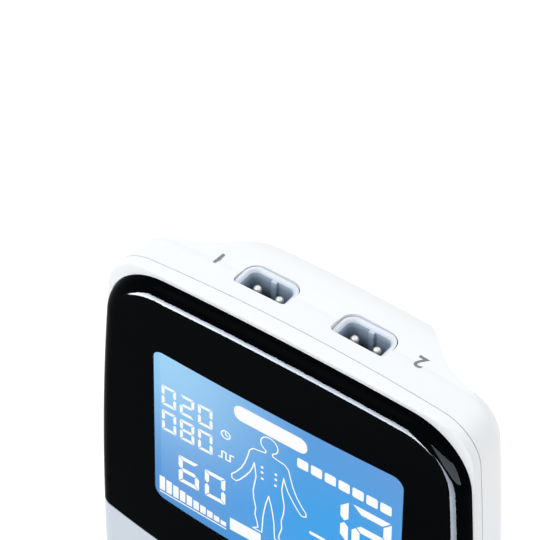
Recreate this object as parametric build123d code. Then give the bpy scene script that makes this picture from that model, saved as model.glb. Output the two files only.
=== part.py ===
"""Two-channel nerve stimulator: a hand-held case with display, keys, lead sockets and a belt clip.

The unit stands on its foot. X is its width, Y its thickness with the back at +Y, Z its height.
The origin is the middle of the foot, on the plane where the two case halves meet.
Lengths are in millimetres.
"""
import math
import os

from build123d import *

os.makedirs("parts", exist_ok=True)

# ---- case outline, on the parting plane ----
case_height = 132.0
case_half_width = 31.5
widest_height = 87.0
crown_radius = 232.0
side_radius_above = 475.0
side_radius_below = 600.0
top_corner_radius = 7.0
foot_corner_radius = 12.0
face_corner_radius = 11.0

# ---- front half ----
parting_gap = 0.16
parting_shift = 0.1
band_depth = 2.4
band_side_inset = 0.6
band_top_inset = 0.98
band_draft_inset = 0.1
band_edge_radius = 0.3
band_gap = 0.05
face_depth = 4.3
face_radius = 555.0
rim_radius = 2.2
seat_depth = 1.2
ledge_width = 6.4
face_wall = 1.1
face_rim_width = 2.2
tongue_wall = 1.2
tongue_height = 1.5
tongue_clearance = 0.25

# ---- rear half ----
wall = 1.8
shoulder_depth = 7.5
shoulder_radius = 3.9
rear_draft_inset = 0.6
hump_depth = 15.0
hump_back_half_top = 10.5
hump_base_half_top = 18.8
hump_back_half = 20.0
hump_base_half = 23.0
hump_widens_at = 75.0
hump_ramp_half_top = 26.5
hump_ramp_half = 26.0
hump_ramp_drop = 2.6
hump_bend_drop = 0.4
hump_bend_radius = 7.0
hump_edge_radius = 2.5
hump_top_radius = 6.0
hump_foot_radius = 3.0
least_radius = 0.5

# ---- border between display lens and keypad plate ----
border_radius = 148.0
border_drop = 52.4
border_gap = 0.15
border_rib = 1.6
plate_chamfer = 0.25

# ---- display ----
window_side_inset = 9.83
window_top_drop = 13.1
window_above_border = 9.5
window_bottom_radius = 190.0
window_corner_radius = 1.8
window_gap = 0.03
window_lip = 0.25
window_flange = 1.5
glass_side_margin = 1.8
glass_top_margin = 1.2
glass_low_margin = 2.0
glass_thickness = 1.6
glass_gap = 0.12
backlight_thickness = 1.1
holder_wall = 1.0
holder_clearance = 0.1
zebra_width = 1.2
zebra_margin = 0.3

# ---- keys ----
key_travel = 0.6
key_rise = 0.6
key_gap = 0.25
key_flange_width = 0.7
key_flange_thickness = 0.7
key_flange_gap = 0.2
key_stem_radius = 1.6
key_mat_gap = 0.05
key_edge_radius = 0.45
key_side_inset = 16.2
key_row_drops = (14.1, 32.1, 50.6)
wide_key = (11.4, 7.4)
round_key_radius = 4.6
square_key = (10.6, 10.6)
key_corner_radius = 3.2

# ---- keypad mat, domes and circuit board ----
board_thickness = 1.0
board_inset = 3.9
board_below_keys = 14.0
board_top_drop = 11.5
board_boss_gap = 0.5
mat_thickness = 0.45
mat_pad_height = 0.3
mat_pad_radius = 3.2
mat_clearance = 0.4
dome_radius = 2.3
dome_height = 0.3
dome_edge_height = 0.2
dome_edge_width = 0.75
dome_clearance = 0.25
dome_roof_gap = 0.12

# ---- lead sockets ----
socket_column = 7.9
socket_y = 5.0
socket_width = 8.8
socket_height = 4.9
socket_rear_corner = 2.1
socket_front_corner = 0.9
socket_least_corner = 0.2
socket_gap = 0.15
socket_wall = 0.75
socket_front_wall = 0.35
socket_recess = 0.45
socket_depth = 9.0
socket_floor = 2.0
socket_lip = 0.35
socket_rib_width = 0.8
socket_rib_height = 0.45
pin_radius = 0.6
pin_spacing = 3.6
pin_below_rim = 1.2
pin_tail = 2.5
pin_tail_width = 0.64
pin_tail_gap = 0.02
pin_tip_radius = 0.54

# ---- battery compartment ----
cell_radius = 5.25
cell_length = 44.5
cell_nub_radius = 1.9
cell_nub_length = 1.2
cell_edge_radius = 0.6
cell_pitch = 11.1
cell_side_play = 0.5
cell_rear_gap = 0.45
contact_thickness = 0.4
contact_width = 8.0
contact_height = 8.0
contact_gap = 0.1
spring_length = 5.0
spring_radius = 2.6
spring_wire_radius = 0.3
spring_turns = 4
tray_low = 7.4
tray_wall = 1.2
tray_floor = 1.0

# ---- battery door ----
door_thickness = 1.4
door_gap = 0.3
door_ledge = 1.3
door_trunnion_radius = 0.5
door_trunnion_length = 0.8
door_trunnion_fit = 0.06
door_hook_width = 2.0
door_hook_length = 2.0
door_hook_thickness = 1.0
door_notch_radius = 7.0
door_notch_depth = 0.5
door_end_radius = 2.0

# ---- belt clip ----
clip_half_width = 10.0
clip_thickness = 2.0
clip_gap = 4.6
clip_pivot_drop = 24.0
clip_pad_length = 6.0
clip_above_door = 7.5
clip_lip_gap = 0.3
clip_lip_height = 3.5
clip_bend = 6.5
clip_bend_step = 0.7
clip_flare = 5.0
clip_flare_rise = 3.0
clip_lug_inner = 3.5
clip_lug_outer = 6.5
clip_lug_radius = 2.0
clip_side_gap = 0.3
clip_pin_radius = 1.0
clip_pin_fit = 0.05
clip_pivot_rise = 2.2
ear_width = 2.2
ear_radius = 2.0
ear_foot = 1.5
clip_spring_radius = 1.5
clip_spring_wire = 0.3
clip_spring_turns = 4
clip_spring_leg = 7.0
clip_corner_radius = 4.0

# ---- fasteners ----
screw_radius = 1.0
screw_head_radius = 1.9
screw_head_height = 1.4
screw_head_gap = 0.3
screw_hole_gap = 0.15
screw_grip_gap = 0.02
screw_seat = 5.4
screw_length = 6.0
boss_split = 2.0
boss_gap = 0.1
boss_radius = 2.6
screw_top_drop = 7.6
screw_top_inset = 6.0
screw_foot_height = 10.6
screw_pocket_gap = 0.65
driver_slot = 0.5
driver_slot_length = 2.3
board_screw_radius = 0.7
board_screw_head_radius = 1.3
board_screw_head_height = 0.6
board_screw_length = 1.9
board_screw_low = 24.0
board_screw_top_drop = 17.0
board_screw_edge = 1.3

# ---- parts on the circuit board ----
transformer_size = (11.0, 7.4, 13.0)
transformer_column = 9.5
transformer_drop = 34.0
core_wrap = 1.6
chip_size = (10.0, 1.4, 10.0)
chip_drop = 51.0
driver_size = (5.0, 1.5, 4.0)
driver_column = 20.0
driver_drops = (54.0, 46.0, 38.0)
capacitor_radius = 3.15
capacitor_length = 7.0
capacitor_edge_radius = 0.5
capacitor_column = 12.0
capacitor_drop = 20.0
buzzer_radius = 5.0
buzzer_length = 3.6
buzzer_column = 11.5
buzzer_above_tray = 9.6
buzzer_hole_radius = 0.8

front_direction = (0, -1, 0)


# ---- helpers ----
def across(face, front, back):
    """A prism of an X-Z outline, from y = front to y = back."""
    placed = Plane(origin=(0, back, 0), x_dir=(1, 0, 0), z_dir=front_direction) * face
    return extrude(placed, amount=back - front, dir=front_direction)


def upright(face, low, high):
    """A prism of an X-Y outline, from z = low to z = high."""
    return extrude(Pos(0, 0, low) * face, amount=high - low, dir=(0, 0, 1))


def sideways(face, half_width, middle=0.0):
    """A prism of a Y-Z outline, centred on x = middle."""
    placed = Plane(origin=(middle - half_width, 0, 0), x_dir=(0, 1, 0), z_dir=(1, 0, 0)) * face
    return extrude(placed, amount=2 * half_width, dir=(1, 0, 0))


def rod_y(radius, front, back, x, z):
    """A round rod along Y."""
    return across(Pos(x, z) * Circle(radius), front, back)


def rod_x(radius, low, high, y, z):
    """A round rod along X."""
    return sideways(Pos(y, z) * Circle(radius), (high - low) / 2, (high + low) / 2)


def block(x_range, y_range, z_range):
    """A box between two corners."""
    size = [high - low for low, high in (x_range, y_range, z_range)]
    middle = [(high + low) / 2 for low, high in (x_range, y_range, z_range)]
    return Pos(*middle) * Box(*size)


def polygon(*points):
    """A flat face inside straight edges."""
    return make_face(Polyline(*points, close=True))


def save(node, *solids):
    """Write one node, as one solid or as a group of separate ones."""
    parts = [solid for item in solids for solid in item.solids()]
    export_step(parts[0] if len(parts) == 1 else Compound(children=parts), f"parts/{node}.step")


# ---- outlines ----
def half_width_at(z):
    """Half the width of the case at a height, away from its corners."""
    radius = side_radius_above if z > widest_height else side_radius_below
    return case_half_width - (z - widest_height) ** 2 / (2 * radius)


def case_outline(side_inset=0.0, top_inset=None, foot_inset=None, corner_radius=top_corner_radius):
    """The outline of the case, drawn in by an amount at its sides, top and foot."""
    top_inset = side_inset if top_inset is None else top_inset
    foot_inset = side_inset if foot_inset is None else foot_inset
    top = case_height - top_inset
    foot = foot_inset
    half = case_half_width - side_inset
    top_x = half - (top - widest_height) ** 2 / (2 * side_radius_above)
    top_z = top - top_x**2 / (2 * crown_radius)
    foot_x = half - (widest_height - foot) ** 2 / (2 * side_radius_below)
    edges = [ThreePointArc((-top_x, top_z), (0, top), (top_x, top_z)), Line((foot_x, foot), (-foot_x, foot))]
    for side in (1, -1):
        widest = (side * half, widest_height)
        edges.append(TangentArc(widest, (side * top_x, top_z), tangent=(0, 1)))
        edges.append(TangentArc(widest, (side * foot_x, foot), tangent=(0, -1)))
    face = make_face(edges)
    corners = face.vertices().sort_by(Axis.Y)
    face = fillet(corners[-2:], max(corner_radius - side_inset, least_radius))
    corners = face.vertices().sort_by(Axis.Y)
    return fillet(corners[:2], max(foot_corner_radius - side_inset, least_radius))


def face_outline(inset=0.0):
    """The outline shared by the display lens and the keypad plate."""
    drawn_in = band_side_inset + inset
    return case_outline(drawn_in, band_top_inset + inset, drawn_in, face_corner_radius)


def face_depth_at(x):
    """How far the curved front stands before the parting plane, at a distance from the middle."""
    return face_depth - x**2 / (2 * face_radius)


def border_low():
    """The lowest point of the arc between display lens and keypad plate."""
    return case_height - border_drop


def border_side(above, shift=0.0):
    """The region above or below the arc between display lens and keypad plate."""
    arc_low = border_low() + shift
    reach = case_half_width + wall
    arc_end = arc_low + reach**2 / (2 * border_radius)
    arc = ThreePointArc((-reach, arc_end), (0, arc_low), (reach, arc_end))
    limit = case_height + wall if above else -wall
    rest = Polyline((reach, arc_end), (reach, limit), (-reach, limit), (-reach, arc_end))
    return make_face([arc, rest])


def window_edges():
    """The display window: its half-width, its lowest point and its upper edge."""
    high = case_height - window_top_drop
    return half_width_at(high) - window_side_inset, border_low() + window_above_border, high


def window_outline(inset=0.0):
    """The display window, drawn in by an amount, with its bowed lower edge."""
    half, low, top = window_edges()
    half, low, top = half - inset, low + inset, top - inset
    low_end = low + half**2 / (2 * window_bottom_radius)
    arc = ThreePointArc((-half, low_end), (0, low), (half, low_end))
    rest = Polyline((half, low_end), (half, top), (-half, top), (-half, low_end))
    face = make_face([arc, rest])
    return fillet(face.vertices(), window_corner_radius - inset)


# ---- case halves ----
def rear_form(inset, start):
    """The outside of the rear half, or its inside where inset is the wall."""
    shoulder = shoulder_depth - inset
    drawn_in = inset + rear_draft_inset
    front_plane = Plane(origin=(0, start, 0), x_dir=(1, 0, 0), z_dir=front_direction)
    back_plane = Plane(origin=(0, shoulder, 0), x_dir=(1, 0, 0), z_dir=front_direction)
    front_face = front_plane * case_outline(inset)
    back_face = back_plane * case_outline(drawn_in, drawn_in, inset)
    slab = loft([front_face, back_face], ruled=True)
    slab = fillet(slab.edges().group_by(Axis.Y)[-1], max(shoulder_radius - inset, least_radius))
    return slab + hump_form(inset)


def hump_section(back_half, base_half, ramp_half, inset):
    """The cross-section of the hump, with the ramps at its base that run out into the shoulders."""
    back = hump_depth - inset
    bend = shoulder_depth - hump_bend_drop - inset
    low = shoulder_depth - hump_ramp_drop - inset
    front = shoulder_depth / 4
    slope = (base_half - back_half) / (hump_depth - shoulder_depth)
    back_x = back_half - inset * (math.sqrt(1 + slope**2) - slope)
    bend_x = back_x + slope * (back - bend)
    ramp_x = ramp_half - inset
    right = [(ramp_x, front), (ramp_x, low), (bend_x, bend), (back_x, back)]
    face = polygon(*right, *[(-x, y) for x, y in reversed(right)])
    face = fillet(face.vertices().group_by(Axis.Y)[2], hump_bend_radius + inset)
    return fillet(face.vertices().group_by(Axis.Y)[-1], max(hump_edge_radius - inset, least_radius))


def hump_form(inset):
    """The hump along the back, wide over the cells and narrower towards the top end."""
    front = shoulder_depth / 4
    back = hump_depth - inset
    top = case_height - inset
    slope = rear_draft_inset / shoulder_depth
    middle = hump_widens_at
    wide = hump_section(hump_back_half, hump_base_half, hump_ramp_half, inset)
    narrow = hump_section(hump_back_half_top, hump_base_half_top, hump_ramp_half_top, inset)
    tapered = loft([Pos(0, 0, middle) * wide, Pos(0, 0, case_height) * narrow], ruled=True)
    low_end = polygon((front, inset), (back, inset), (back, middle), (front, middle))
    foot_corner = low_end.vertices().group_by(Axis.Y)[0].sort_by(Axis.X)[-1:]
    low_end = fillet(foot_corner, max(hump_foot_radius - inset, least_radius))
    lower = upright(wide, 0, middle) & sideways(low_end, case_half_width)
    lower = lower & across(case_outline(inset), -wall, hump_depth)
    start = middle / 2
    top_end = polygon((front, start), (back, start), (back, top - slope * back), (front, top - slope * front))
    top_corner = top_end.vertices().group_by(Axis.X)[-1].sort_by(Axis.Y)[-1:]
    top_end = fillet(top_corner, max(hump_top_radius - inset, least_radius))
    crown_axis = Axis((0, 0, case_height - crown_radius), (0, 1, 0))
    half_turn = math.degrees(math.asin(case_half_width / (crown_radius - case_height + start)))
    placed = Plane.YZ * top_end
    ring = revolve(placed.rotate(crown_axis, -half_turn), crown_axis, 2 * half_turn)
    outline = across(case_outline(inset + rear_draft_inset), -wall, hump_depth + wall)
    return lower + (tapered & ring & outline)


def screw_places():
    """Where the case screws stand, as x and z: two near the top corners and two beside the battery tray."""
    top = case_height - screw_top_drop
    top_x = half_width_at(top) - screw_top_inset
    foot_x = pocket_half_width() + tray_wall + screw_pocket_gap + boss_radius
    return [(side * x, z) for x, z in ((top_x, top), (foot_x, screw_foot_height)) for side in (1, -1)]


def board_screw_places():
    """Where the board's screws stand, as x and z."""
    inset = board_inset + board_screw_edge
    heights = (board_screw_low, case_height - board_screw_top_drop)
    return [(side * (half_width_at(z) - inset), z) for z in heights for side in (1, -1)]


def front_shell():
    """The front half: a narrow band, a seat for lens and plate, a ledge for the board and a tongue."""
    back = -parting_shift - parting_gap
    back_plane = Plane(origin=(0, back, 0), x_dir=(1, 0, 0), z_dir=front_direction)
    front_plane = Plane(origin=(0, -band_depth, 0), x_dir=(1, 0, 0), z_dir=front_direction)
    drawn_in = case_outline(band_draft_inset, band_draft_inset, 0)
    band = loft([back_plane * case_outline(), front_plane * drawn_in], ruled=True)
    band &= front_curve(face_depth - band_depth)
    band = fillet(band.faces().sort_by(Axis.Y)[0].edges(), band_edge_radius)
    inner = wall + tongue_clearance
    shell = band + across(case_outline(inner), -seat_depth, 0)
    shell += across(case_outline(inner), -seat_depth, tongue_height) - across(
        case_outline(inner + tongue_wall), -seat_depth, tongue_height)
    shell -= across(face_outline(-band_gap), -face_depth, -seat_depth)
    shell -= across(case_outline(ledge_width), -face_depth, tongue_height)
    for x, z in screw_places():
        shell += rod_y(boss_radius, -seat_depth, boss_split, x, z)
    for x, z in screw_places():
        shell -= rod_y(screw_radius + screw_grip_gap, screw_seat - screw_length - boss_gap, screw_seat, x, z)
    for x, z in board_screw_places():
        shell -= rod_y(board_screw_radius + screw_grip_gap, -seat_depth, board_thickness, x, z)
    return shell


def socket_outline(inset=0.0, front_inset=None):
    """A socket's opening: round at its rear corners, squarer towards the front."""
    front_inset = inset if front_inset is None else front_inset
    height = socket_height - inset - front_inset
    face = Pos(0, (front_inset - inset) / 2) * Rectangle(socket_width - 2 * inset, height)
    rear = fillet(face.vertices().group_by(Axis.Y)[-1], max(socket_rear_corner - inset, socket_least_corner))
    return fillet(rear.vertices().group_by(Axis.Y)[0], max(socket_front_corner - inset, socket_least_corner))


def socket_rim():
    """The height of a socket's rim, just under the top end beside it."""
    end = case_height - socket_column**2 / (2 * crown_radius) - rear_draft_inset * socket_y / shoulder_depth
    return end - socket_recess


def pocket_half_width():
    """Half the width of the battery pocket."""
    return cell_pitch + cell_radius + cell_side_play


def pocket_high():
    """The upper end of the battery pocket."""
    return tray_low + cell_length + spring_length + 2 * contact_thickness + 2 * contact_gap


def tray_high():
    """The upper end of the tray round the pocket and the door's ledge."""
    return pocket_high() + door_ledge + tray_wall


def door_inner():
    """The inner face of the battery door."""
    return hump_depth - door_thickness


def cell_y():
    """The axis of the cells across the case."""
    return door_inner() - cell_rear_gap - cell_radius


def door_axis():
    """The door's hinge line, as y and z."""
    return hump_depth - door_thickness / 2, pocket_high() + door_ledge - door_thickness / 2


def clip_axis():
    """The clip's hinge line, as y and z."""
    return hump_depth + clip_pivot_rise, case_height - clip_pivot_drop


def door_outline(grow=0.0):
    """The outline of the battery door, or of its recess where it grows by the gap."""
    half = pocket_half_width() + door_ledge + grow
    low = tray_low - door_ledge - grow
    high = pocket_high() + door_ledge + grow
    face = polygon((-half, low), (half, low), (half, high), (-half, high))
    return fillet(face.vertices().group_by(Axis.Y)[0], door_end_radius + grow)


def rear_shell():
    """The rear half: shoulders, hump, battery tray, socket openings, screw bosses and clip ears."""
    outer = rear_form(0, -parting_shift)
    inner = rear_form(wall, -parting_shift - parting_gap)
    half = pocket_half_width()
    floor = cell_y() - cell_radius - contact_gap
    low, high = tray_low, pocket_high()
    ledge_y = door_inner() - door_gap
    added = block((-half - tray_wall, half + tray_wall), (floor - tray_floor, hump_depth),
                  (low - tray_wall, tray_high()))
    for x, z in screw_places():
        added += rod_y(boss_radius, boss_split + boss_gap, shoulder_depth, x, z)
    shell = (outer - inner) + (added & outer)
    for x, z in screw_places():
        shell -= rod_y(boss_radius + boss_gap, -parting_shift, boss_split + boss_gap, x, z)
    shell -= block((-half, half), (floor, hump_depth + wall), (low, high))
    shell -= across(door_outline(door_gap), ledge_y, hump_depth + wall)
    hinge_y, hinge_z = door_axis()
    reach = half + door_ledge + 2 * door_gap + door_trunnion_length
    shell -= rod_x(door_trunnion_radius + door_trunnion_fit, -reach, reach, hinge_y, hinge_z)
    for x, z in screw_places():
        shell -= rod_y(screw_radius + screw_hole_gap, boss_split, shoulder_depth, x, z)
        shell -= rod_y(screw_head_radius + screw_head_gap, screw_seat, hump_depth, x, z)
    for side in (1, -1):
        opening = Pos(side * socket_column, socket_y) * socket_outline()
        shell -= upright(opening, case_height - 2 * wall, case_height + wall)
    return shell + clip_ears()


def clip_ears():
    """The two ears on the hump that hold the clip's pin."""
    y, z = clip_axis()
    near = clip_lug_outer + clip_side_gap
    root = hump_depth - wall / 2
    ears = Part()
    for side in (1, -1):
        middle = side * (near + ear_width / 2)
        ear = sideways(Pos(y, z) * Circle(ear_radius), ear_width / 2, middle)
        web = polygon((root, z - ear_radius - ear_foot), (root, z + ear_radius + ear_foot),
                      (y, z + ear_radius), (y, z - ear_radius))
        ear += sideways(web, ear_width / 2, middle)
        ears += ear - rod_x(clip_pin_radius + screw_grip_gap, -clip_half_width, clip_half_width, y, z)
    return ears


# ---- front face ----
def front_curve(depth=0.0):
    """All that lies behind the curved front, or behind a depth under it."""
    return upright(Pos(0, face_radius - face_depth) * Circle(face_radius - depth), -wall, case_height + wall)


def face_blank():
    """Lens and plate as one body, with the curved front and the rounded rim."""
    blank = across(face_outline(), -face_depth, 0) & front_curve()
    blank = fillet(blank.faces().sort_by(Axis.Y)[0].edges(), rim_radius)
    return blank & across(case_outline(), -face_depth, -seat_depth)


def face_pocket(above):
    """The hollow behind the lens or the plate, which leaves a rim and a rib along their border."""
    shift = border_rib if above else -border_rib
    region = face_outline(face_rim_width) & border_side(above, shift)
    return across(region, -(face_depth - face_wall), -seat_depth + wall)


def window_body(gap):
    """The window and the wider flange under its lip."""
    back = -(face_depth - face_wall)
    opening = across(window_outline(gap), -face_depth, back) & front_curve()
    flange = across(window_outline(gap - window_flange), -face_depth, back) & front_curve(window_lip + gap)
    return opening + flange


def display_lens(blank):
    """The black lens over the upper front, open at its window, with a rebate for the pane's flange."""
    lens = blank & across(border_side(True, border_gap / 2), -face_depth, 0)
    return lens - face_pocket(True) - window_body(0)


def display_window():
    """The clear pane, flush with the lens and held by its flange."""
    return window_body(window_gap)


def keypad_plate(blank):
    """The silver plate over the lower front, pierced for the keys."""
    plate = blank & across(border_side(False, -border_gap / 2), -face_depth, 0)
    plate -= face_pocket(False)
    for x, z, shape in key_places().values():
        plate -= across(Pos(x, z) * key_shape(shape, key_gap), -face_depth, 0)
    return plate


# ---- keys ----
def key_places():
    """Each key's node, with its x, its z and its shape."""
    top, middle, low = [border_low() - drop for drop in key_row_drops]
    side = case_half_width - key_side_inset
    return {
        "menu_key": (-side, top, "wide"),
        "power_key": (0, top, "round"),
        "enter_key": (side, top, "wide"),
        "channel_1_up_key": (-side, middle, "square"),
        "program_up_key": (0, middle, "round"),
        "channel_2_up_key": (side, middle, "square"),
        "channel_1_down_key": (-side, low, "square"),
        "program_down_key": (0, low, "round"),
        "channel_2_down_key": (side, low, "square"),
    }


def key_shape(shape, grow=0.0):
    """A key's outline, larger all round by an amount."""
    if shape == "round":
        return Circle(round_key_radius + grow)
    width, height = wide_key if shape == "wide" else square_key
    return RectangleRounded(width + 2 * grow, height + 2 * grow, key_corner_radius + grow)


def key(x, z, shape):
    """A key: a cap through the plate, a flange behind it and a stem towards the mat."""
    plate_back = -(face_depth - face_wall)
    flange_front = plate_back + key_flange_gap
    flange_back = flange_front + key_flange_thickness
    stem_end = -(mat_thickness + mat_pad_height + key_mat_gap + key_travel)
    cap = across(Pos(x, z) * key_shape(shape), -face_depth_at(x) - key_rise, flange_back)
    cap = fillet(cap.edges().group_by(Axis.Y)[0], key_edge_radius)
    flange = across(Pos(x, z) * key_shape(shape, key_flange_width), flange_front, flange_back)
    return cap + flange + rod_y(key_stem_radius, flange_front, stem_end, x, z)


def keypad_mat():
    """The silicone mat: a sheet on the board, with a hollow pad under each key."""
    top, low = [border_low() - drop for drop in (key_row_drops[0], key_row_drops[-1])]
    margin = square_key[1] / 2 + mat_pad_height
    zone = polygon((-case_half_width, low - margin), (case_half_width, low - margin),
                   (case_half_width, top + margin), (-case_half_width, top + margin))
    mat = across(case_outline(ledge_width + mat_clearance) & zone, -mat_thickness, 0)
    for x, z, _ in key_places().values():
        mat += rod_y(mat_pad_radius, -mat_thickness - mat_pad_height, 0, x, z)
    for x, z, _ in key_places().values():
        mat -= rod_y(dome_radius + dome_clearance, -dome_height - dome_roof_gap, 0, x, z)
    for x, z in screw_places():
        mat -= rod_y(boss_radius + mat_clearance, -mat_thickness, 0, x, z)
    return mat


def snap_domes():
    """The metal domes that the keys press."""
    dome = Cylinder(dome_radius, dome_height)
    dome = chamfer(dome.edges().group_by(Axis.Z)[-1], dome_edge_height, dome_edge_width)
    return [Pos(x, -dome_height / 2, z) * Rot(90, 0, 0) * dome for x, z, _ in key_places().values()]


# ---- display ----
def display_edges():
    """The display glass: its half-width and its lower and upper edge."""
    half, low, high = window_edges()
    return half + glass_side_margin, low - glass_low_margin, high + glass_top_margin


def display_layers():
    """The front and back of the glass and of the backlight."""
    glass_front = -(face_depth - face_wall) + glass_gap
    glass_back = glass_front + glass_thickness
    return glass_front, glass_back, glass_back + backlight_thickness


def lcd_glass():
    """The display glass."""
    half, low, high = display_edges()
    front, back, _ = display_layers()
    return block((-half, half), (front, back), (low, high))


def lcd_backlight():
    """The light guide behind the display glass."""
    half, low, high = display_edges()
    _, front, back = display_layers()
    return block((-half, half), (front, back), (low + zebra_width + 2 * zebra_margin, high))


def zebra_strip():
    """The soft strip that joins the display glass to the board."""
    half, low, _ = display_edges()
    _, front, _ = display_layers()
    return block((-half + zebra_margin, half - zebra_margin), (front, 0),
                 (low + zebra_margin, low + zebra_margin + zebra_width))


def lcd_holder():
    """The frame round the glass and the backlight, standing on the board."""
    half, low, high = display_edges()
    front, _, _ = display_layers()
    inner = holder_clearance
    outer = holder_clearance + holder_wall
    frame = block((-half - outer, half + outer), (front, 0), (low - outer, high + outer))
    return frame - block((-half - inner, half + inner), (front, 0), (low - inner, high + inner))


# ---- circuit board ----
def main_board():
    """The circuit board, on the ledge of the front shell, clear of the screw bosses."""
    low = border_low() - key_row_drops[-1] - board_below_keys
    high = case_height - board_top_drop
    side = case_half_width
    zone = polygon((-side, low), (side, low), (side, high), (-side, high))
    board = across(case_outline(board_inset) & zone, 0, board_thickness)
    for x, z in screw_places():
        board -= rod_y(boss_radius + board_boss_gap, 0, board_thickness, x, z)
    for x, z in board_screw_places():
        board -= rod_y(board_screw_radius + screw_hole_gap, 0, board_thickness, x, z)
    return board


def on_board(size, x, z):
    """A block standing on the back of the board."""
    width, depth, height = size
    return block((x - width / 2, x + width / 2), (board_thickness, board_thickness + depth),
                 (z - height / 2, z + height / 2))


def transformer(side):
    """An output transformer: a laminated core with its winding."""
    width, depth, height = transformer_size
    x = side * transformer_column
    z = case_height - transformer_drop
    core = on_board((width, depth, height - 2 * core_wrap), x, z)
    return core + on_board((width - 2 * core_wrap, depth - core_wrap, height), x, z)


def driver_chips():
    """The output stages, in a column at each side."""
    return [on_board(driver_size, side * driver_column, case_height - drop)
            for side in (1, -1) for drop in driver_drops]


def capacitors():
    """The reservoir capacitors."""
    back = board_thickness + capacitor_length
    z = case_height - capacitor_drop
    cans = [rod_y(capacitor_radius, board_thickness, back, side * capacitor_column, z) for side in (1, -1)]
    return [fillet(can.edges().group_by(Axis.Y)[-1], capacitor_edge_radius) for can in cans]


def buzzer():
    """The buzzer above the battery tray, with its sound hole."""
    x, z = buzzer_column, tray_high() + buzzer_above_tray
    back = board_thickness + buzzer_length
    return rod_y(buzzer_radius, board_thickness, back, x, z) - rod_y(
        buzzer_hole_radius, back - buzzer_length / 2, back, x, z)


# ---- lead sockets ----
def lead_socket(side):
    """A socket insert: a cup with a keyed hollow and holes for two pins."""
    place = Pos(side * socket_column, socket_y)
    rim = socket_rim()
    floor = rim - socket_depth
    cup = upright(place * socket_outline(socket_gap), floor - socket_floor, rim)
    inner = socket_gap + socket_wall
    front = socket_gap + socket_front_wall
    hollow = upright(place * socket_outline(inner, front), floor, rim)
    mouth_low = rim - socket_lip
    mouth = loft([Pos(0, 0, mouth_low) * place * socket_outline(inner, front),
                  Pos(0, 0, rim) * place * socket_outline(inner - socket_lip, front)], ruled=True)
    cup = cup - hollow - mouth
    back = socket_y + socket_height / 2 - inner
    rib_x = side * socket_column
    cup += block((rib_x - socket_rib_width / 2, rib_x + socket_rib_width / 2),
                 (back - socket_rib_height, back + socket_wall / 2), (floor, mouth_low))
    width = pin_tail_width + 2 * pin_tail_gap
    for x in pin_columns(side):
        cup -= upright(Pos(x, socket_y) * Rectangle(width, width), floor - socket_floor, floor)
    return cup


def pin_columns(side):
    """Where a socket's two pins stand across the case."""
    return [side * socket_column + half * pin_spacing / 2 for half in (-1, 1)]


def socket_pins(side):
    """The two round contact pins of a socket, each with a square tail through the floor."""
    tip = socket_rim() - pin_below_rim
    floor = socket_rim() - socket_depth
    low = floor - socket_floor - pin_tail
    pins = []
    for x in pin_columns(side):
        place = Pos(x, socket_y)
        contact = upright(place * Circle(pin_radius), floor, tip)
        contact = fillet(contact.edges().group_by(Axis.Z)[-1], pin_tip_radius)
        pins.append(contact + upright(place * Rectangle(pin_tail_width, pin_tail_width), low, floor))
    return pins


# ---- cells and contacts ----
def cell_places():
    """Each cell's x, with 1 where its nub points up and -1 where it points down."""
    return [(-cell_pitch, 1), (0, -1), (cell_pitch, 1)]


def cell(x, up):
    """A cell, with its nub."""
    can = Cylinder(cell_radius, cell_length - cell_nub_length)
    can = fillet(can.edges(), cell_edge_radius)
    nub_middle = cell_length / 2
    can += Pos(0, 0, nub_middle - cell_nub_length) * Cylinder(cell_nub_radius, cell_nub_length * 2)
    low_end = tray_low + contact_thickness + contact_gap
    low = low_end + (spring_length if up > 0 else 0)
    turn = Rot(0, 0, 0) if up > 0 else Rot(180, 0, 0)
    middle = low + (cell_length - up * cell_nub_length) / 2
    return Pos(x, cell_y(), middle) * turn * can


def battery_contacts():
    """The contact plates at both ends of each cell."""
    plates = []
    for x, _ in cell_places():
        for z in (tray_low + contact_thickness / 2, pocket_high() - contact_thickness / 2):
            plates.append(Pos(x, cell_y(), z) * Box(contact_width, contact_height, contact_thickness))
    return plates


def battery_springs():
    """The coil springs at the flat end of each cell."""
    springs = []
    height = spring_length - 2 * spring_wire_radius
    for x, up in cell_places():
        high_end = pocket_high() - contact_thickness - spring_length
        low_end = tray_low + contact_thickness if up > 0 else high_end
        path = Helix(height / spring_turns, height, spring_radius)
        wire = Plane(origin=path @ 0, z_dir=path % 0) * Circle(spring_wire_radius)
        coil = sweep(wire, path=path)
        springs.append(Pos(x, cell_y(), low_end + spring_wire_radius) * coil)
    return springs


def battery_door():
    """The battery door: trunnions at its upper edge, two hooks at its foot and a finger notch."""
    hinge_y, hinge_z = door_axis()
    half = pocket_half_width() + door_ledge
    inner = door_inner()
    door = across(door_outline(), inner, hump_depth)
    door -= block((-half, half), (inner, hump_depth), (hinge_z, hinge_z + door_thickness))
    door += rod_x(door_thickness / 2, -half, half, hinge_y, hinge_z)
    reach = half + door_gap + door_trunnion_length
    door += rod_x(door_trunnion_radius, -reach, reach, hinge_y, hinge_z)
    hook_low = tray_low + door_gap
    for side in (1, -1):
        x = side * cell_pitch / 2
        door += block((x - door_hook_width / 2, x + door_hook_width / 2), (inner - door_hook_length, inner),
                      (hook_low, hook_low + door_hook_thickness))
    radius = door_notch_radius
    notch = Pos(hump_depth + radius - door_notch_depth, tray_low + radius) * Circle(radius)
    return door - sideways(notch, radius)


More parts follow.
